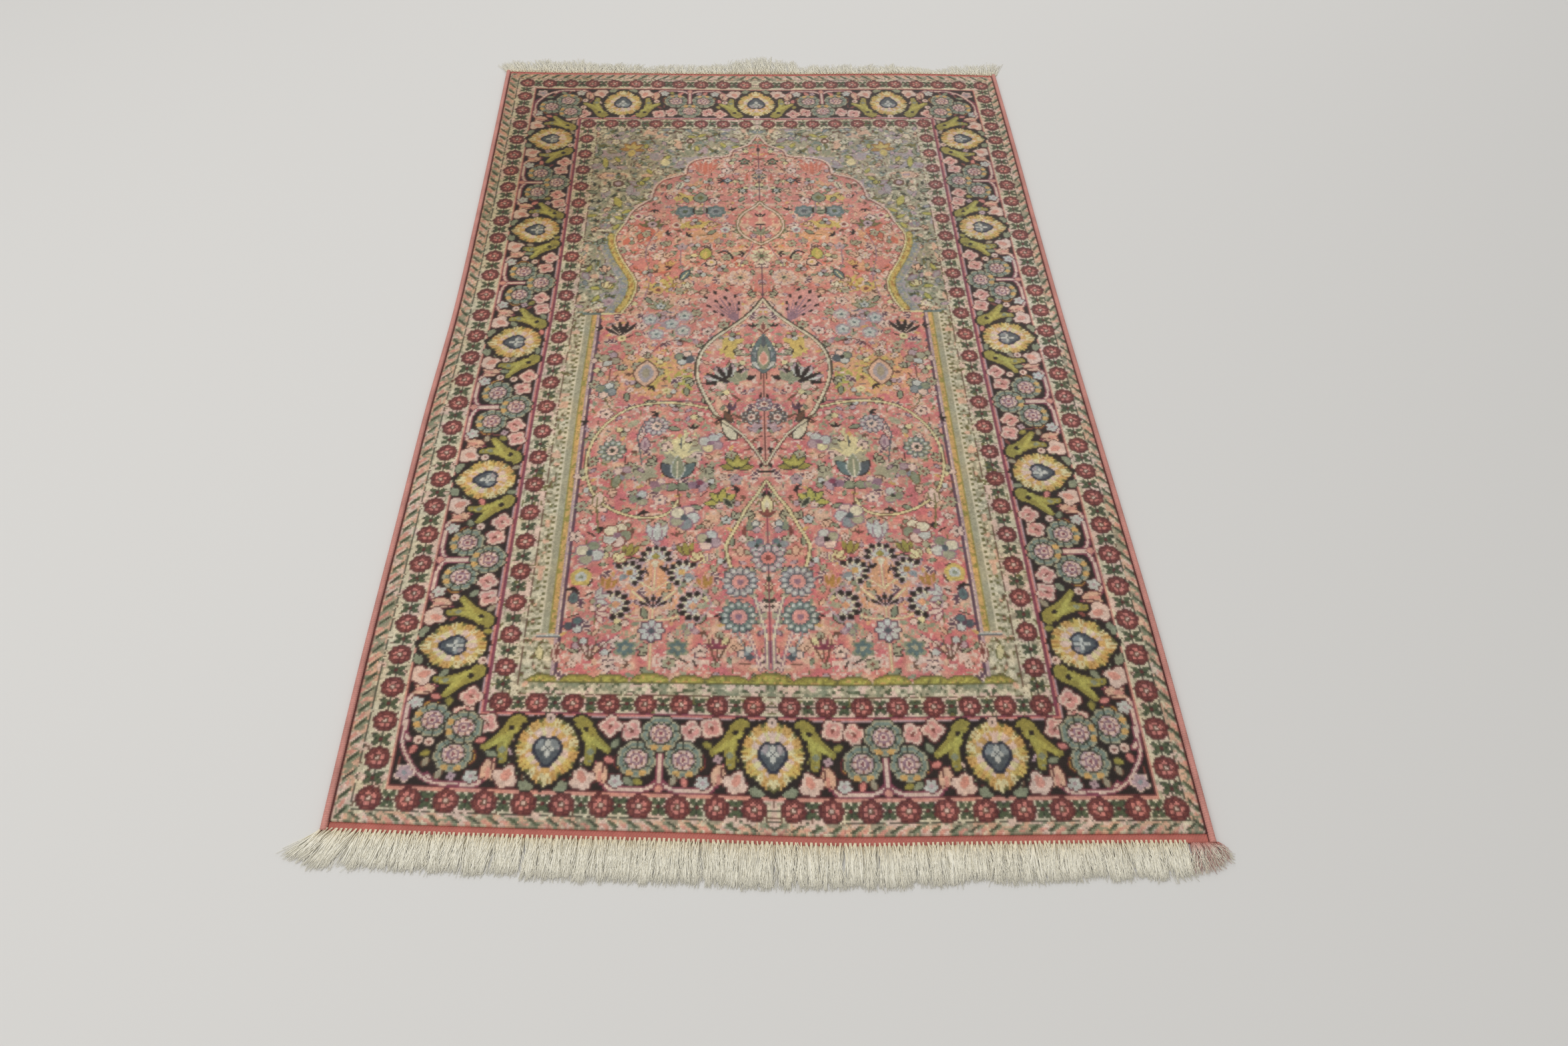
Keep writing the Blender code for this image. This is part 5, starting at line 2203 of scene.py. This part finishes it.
@dataclass
class Fringe:
    """The cut warp ends past one end of the cloth, combed into soft locks."""

    name: str
    node: str
    edge: Curve
    outward: float
    start: float
    stop: float
    # x, then how long the locks are and how far they lean towards +X, in degrees
    rows: tuple[Triple, ...]
    locks: int
    strands_each: int
    seed: int
    bundles_each: int = 8
    bundle_width: float = 3.0
    rings: int = 5
    radius: float = 0.00038
    root_height: float = 0.0022
    tooth_length: float = 0.0020
    tooth_height: float = 0.0036
    fullness: float = 0.0016
    wander: float = 0.0030
    raggedness: float = 0.0060
    pinch: float = 0.35
    colour: Colour = (252, 247, 230)
    root_colour: Colour = (248, 234, 200)

    def build(self) -> Piece:
        """Comb the strands out of the edge.

        Returns:
            The fringe.
        """
        dice = np.random.default_rng(self.seed)
        # The first few of each lock lie lowest and are flat bundles, which close the gaps
        each = self.strands_each + self.bundles_each
        count = self.locks * each
        lock = np.repeat(np.arange(self.locks), each)
        bundle = np.tile(np.arange(each) < self.bundles_each, self.locks)
        pitch = (self.stop - self.start) / self.locks
        middle = self.start + (lock + 0.5) * pitch
        offset = np.where(bundle, 0.8, 1.0) * (dice.random(count) - 0.5) * pitch * 1.10
        tooth = ~bundle & (np.abs(offset) < 0.20 * pitch)
        root_x = np.clip(middle + offset, self.start, self.stop)
        lean = np.radians(curve_through(self.rows, 2)(root_x) + dice.normal(0.0, 5.0, self.locks)[lock]
                          + np.where(bundle, 0.3, 1.0) * dice.normal(0.0, 6.0, count))
        length = (curve_through(self.rows, 1)(root_x) - self.raggedness * 0.35
                  + self.raggedness * (dice.random(self.locks)[lock] - 0.5)
                  + self.raggedness * 0.6 * (dice.random(count) - 0.6))
        length = np.where(bundle, 0.92 * length, length)
        share = np.linspace(0.0, 1.0, self.rings)
        pull = -offset[:, None] * self.pinch * share**1.5
        bend = dice.normal(0.0, self.wander, (count, 1)) * share**2
        curl = dice.normal(0.0, self.wander * 0.30, (count, 1)) * np.sin(
            share * math.pi * (1.5 + dice.random((count, 1))))
        reach = length[:, None] * share
        x = root_x[:, None] + np.sin(lean)[:, None] * reach + (pull + bend + curl) * np.where(
            bundle, 0.4, 1.0)[:, None]
        start_y = self.edge(root_x) - self.outward * np.where(tooth, self.tooth_length, 0.0004)
        y = start_y[:, None] + self.outward * np.cos(lean)[:, None] * reach
        layer = np.where(bundle, 0.75, 1.0)[:, None] * dice.random((count, 1))
        body = np.sin(math.pi * np.clip(share * 0.9 + 0.06, 0.0, 1.0))
        z = (self.radius + 0.0002 + (self.root_height - 0.0006) * (1 - share) ** 2 * layer
             + self.fullness * layer * body)
        z = z + np.where(tooth[:, None], (self.tooth_height - z[:, :1]) * (1 - share) ** 3, 0.0)
        radii = self.radius * (1.0 - 0.55 * share**2) * (0.8 + 0.4 * dice.random((count, 1)))
        # Painted shade: strands lower in the lock, the flat bundles most, are a little darker; the second
        # factor is uneven tone
        tone = (0.97 + 0.03 * layer) * (0.94 + 0.06 * dice.random((count, 1)))
        blend = np.clip(share * 3.0, 0.0, 1.0)[None, :, None]
        colours = linear(self.root_colour) * (1 - blend) + linear(self.colour) * blend
        colours = colours * tone[:, :, None] * np.ones((1, self.rings, 1))
        lines = np.stack([x, y, z], axis=-1)
        widths = np.where(bundle, self.bundle_width, 1.0)
        mesh = strand_mesh(self.name, lines, radii, colours, widths)
        return finish_piece(self.name, mesh, COTTON, self.node)


@dataclass
class CornerTuft:
    """The fan of loose yarn that has worked free at the near end of the right cord."""

    outline: Outline
    strands: int = 170
    rings: int = 9
    root_left: float = 0.3345
    root_right: float = 0.3560
    seed: int = 29
    longest: float = 0.0265
    root_colour: Colour = (214, 140, 128)
    # The colours that the yarns fade to, and how many of them take each
    tip_colours: tuple[Colour, ...] = ((244, 236, 218), (226, 190, 178), (196, 150, 142))
    tip_shares: Triple = (0.66, 0.22, 0.12)

    def build(self) -> Piece:
        """Fan the yarns out of the corner.

        Returns:
            The tuft.
        """
        dice = np.random.default_rng(self.seed)
        count = self.strands
        spot = dice.random(count)
        root_x = self.root_left + (self.root_right - self.root_left) * spot
        lean = np.radians(-6.0 + 48.0 * spot**1.3 + dice.normal(0.0, 7.0, count))
        length = self.longest - 0.0100 * spot**2 - 0.0060 * dice.random(count)
        share = np.linspace(0.0, 1.0, self.rings)
        reach = length[:, None] * share
        bend = dice.normal(0.0, 0.0035, (count, 1)) * share**2
        curl = dice.normal(0.0, 0.0012, (count, 1)) * np.sin(share * 7.0 * (0.6 + dice.random((count, 1))))
        x = root_x[:, None] + np.sin(lean)[:, None] * reach + bend + curl
        y = self.outline.near(root_x)[:, None] - np.cos(lean)[:, None] * reach + 0.0006
        layer = dice.random((count, 1))
        z = 0.0006 + 0.0026 * layer * np.sin(math.pi * np.clip(share + 0.12, 0.0, 1.0)) + 0.0010 * layer
        radii = 0.00033 * (1.0 - 0.5 * share**2) * np.ones((count, 1))
        pick = dice.choice(len(self.tip_colours), count, p=self.tip_shares)
        tips = linear(self.tip_colours)[pick][:, None]
        dyed = np.clip(0.9 - 2.2 * share, 0.0, 1.0)[:, None]
        colours = tips + (linear(self.root_colour) - tips) * dyed
        mesh = strand_mesh("loose_yarns", np.stack([x, y, z], axis=-1), radii, colours, np.ones(count))
        return finish_piece("loose_yarns", mesh, LOOSE_YARN, "corner_tuft")


FRONT_FRINGE_ROWS = (
    (-0.35, 0.0335, -48), (-0.32, 0.0325, -26), (-0.27, 0.031, -10), (-0.2, 0.032, -4), (-0.1, 0.035, -2),
    (0.05, 0.035, 1), (0.15, 0.033, -1), (0.25, 0.031, 1), (0.355, 0.03, 4),
)
BACK_FRINGE_ROWS = (
    (-0.35, 0.038, -28), (-0.3, 0.0385, -13), (-0.245, 0.04, -9), (-0.19, 0.03, -4), (-0.07, 0.029, -3),
    (0, 0.05, -2), (0.03, 0.048, 0), (0.08, 0.031, 2), (0.2, 0.033, 3), (0.26, 0.026, 2),
    (0.31, 0.027, 3), (0.355, 0.04, 10),
)


# The studio


@dataclass
class Studio:
    """A plain pale floor, soft light and the camera."""

    floor_size: float = 12.0
    floor_colour: Colour = (222, 220, 216)
    camera_place: Triple = (-0.00478, -0.84418, 0.78800)
    camera_turn: Triple = (0.644464, -0.014725, -0.028785)
    lens: float = 23.38

    def build(self) -> None:
        """Set up the floor, the lights and the camera."""
        self.floor()
        self.light("key", (-1.2, -0.6, 2.6), (0.0, 0.0, 0.0), 2.4, 36.0)
        self.light("far_window", (0.7, 2.8, 1.9), (0.0, 0.2, 0.0), 2.2, 30.0)
        self.sky(0.46)
        camera = bpy.data.objects.new("camera", bpy.data.cameras.new("camera"))
        camera.data.lens = self.lens
        camera.data.sensor_width = 36.0
        camera.data.clip_start = 0.01
        camera.location = self.camera_place
        camera.rotation_euler = self.camera_turn
        bpy.context.scene.collection.objects.link(camera)
        bpy.context.scene.camera = camera
        bpy.context.scene.view_settings.view_transform = "Standard"

    def floor(self) -> None:
        """Lay the floor just under the rug."""
        mesh = take_mesh("floor", unit_grid(1, 1))
        write_places(mesh, (vertex_places(mesh) - (0.5, 0.5, 0.0)) * self.floor_size)
        material = bpy.data.materials.new("floor_plain")
        material.use_nodes = True
        shader = material.node_tree.nodes["Principled BSDF"]
        shader.inputs["Base Color"].default_value = (*linear(self.floor_colour), 1.0)
        shader.inputs["Roughness"].default_value = 0.85
        mesh.materials.append(material)
        floor = bpy.data.objects.new("floor", mesh)
        floor.location.z = -0.0002
        bpy.context.scene.collection.objects.link(floor)

    def light(self, name: str, place: Triple, aim: Triple,
              size: float, power: float) -> None:
        """Hang a soft light.

        Args:
            name: its name.
            place: where it hangs.
            aim: where it points.
            size: how wide it is.
            power: its power in watts.
        """
        lamp = bpy.data.lights.new(name, "AREA")
        lamp.shape = "SQUARE"
        lamp.size = size
        lamp.energy = power
        holder = bpy.data.objects.new(name, lamp)
        holder.location = place
        holder.rotation_euler = (Vector(aim) - Vector(place)).to_track_quat("-Z", "Y").to_euler()
        bpy.context.scene.collection.objects.link(holder)

    def sky(self, strength: float) -> None:
        """Fill the room with even light.

        Args:
            strength: how bright it is.
        """
        world = bpy.data.worlds.new("room")
        world.use_nodes = True
        background = world.node_tree.nodes["Background"]
        background.inputs["Color"].default_value = (1.0, 1.0, 1.0, 1.0)
        background.inputs["Strength"].default_value = strength
        bpy.context.scene.world = world


def main() -> None:
    """Build the rug's pieces in order and report each one."""
    logging.basicConfig(level=logging.INFO, format="%(name)s: %(message)s")
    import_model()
    outline = Outline()
    pile = Pile(outline, build_chart()).build()
    trims = [
        Selvedge(outline, "cord_left", "selvedge_left", outline.left, 1.0).build(),
        Selvedge(outline, "cord_right", "selvedge_right", outline.right, -1.0).build(),
        EndWeb(outline, "band_front", "end_web_front", outline.near, 1.0).build(),
        EndWeb(outline, "band_back", "end_web_back", outline.far, -1.0).build(),
        Fringe("strands_front", "fringe_front", outline.near, -1.0, -0.3475, 0.3315, FRONT_FRINGE_ROWS,
               locks=178, strands_each=19, seed=11).build(),
        Fringe("strands_back", "fringe_back", outline.far, 1.0, -0.3510, 0.3530, BACK_FRINGE_ROWS,
               locks=150, strands_each=14, seed=23, bundles_each=1, bundle_width=2.6, raggedness=0.0160,
               wander=0.0040).build(),
        CornerTuft(outline).build(),
    ]
    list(pile[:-1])
    Studio().build()


if __name__ == "__main__":
    main()
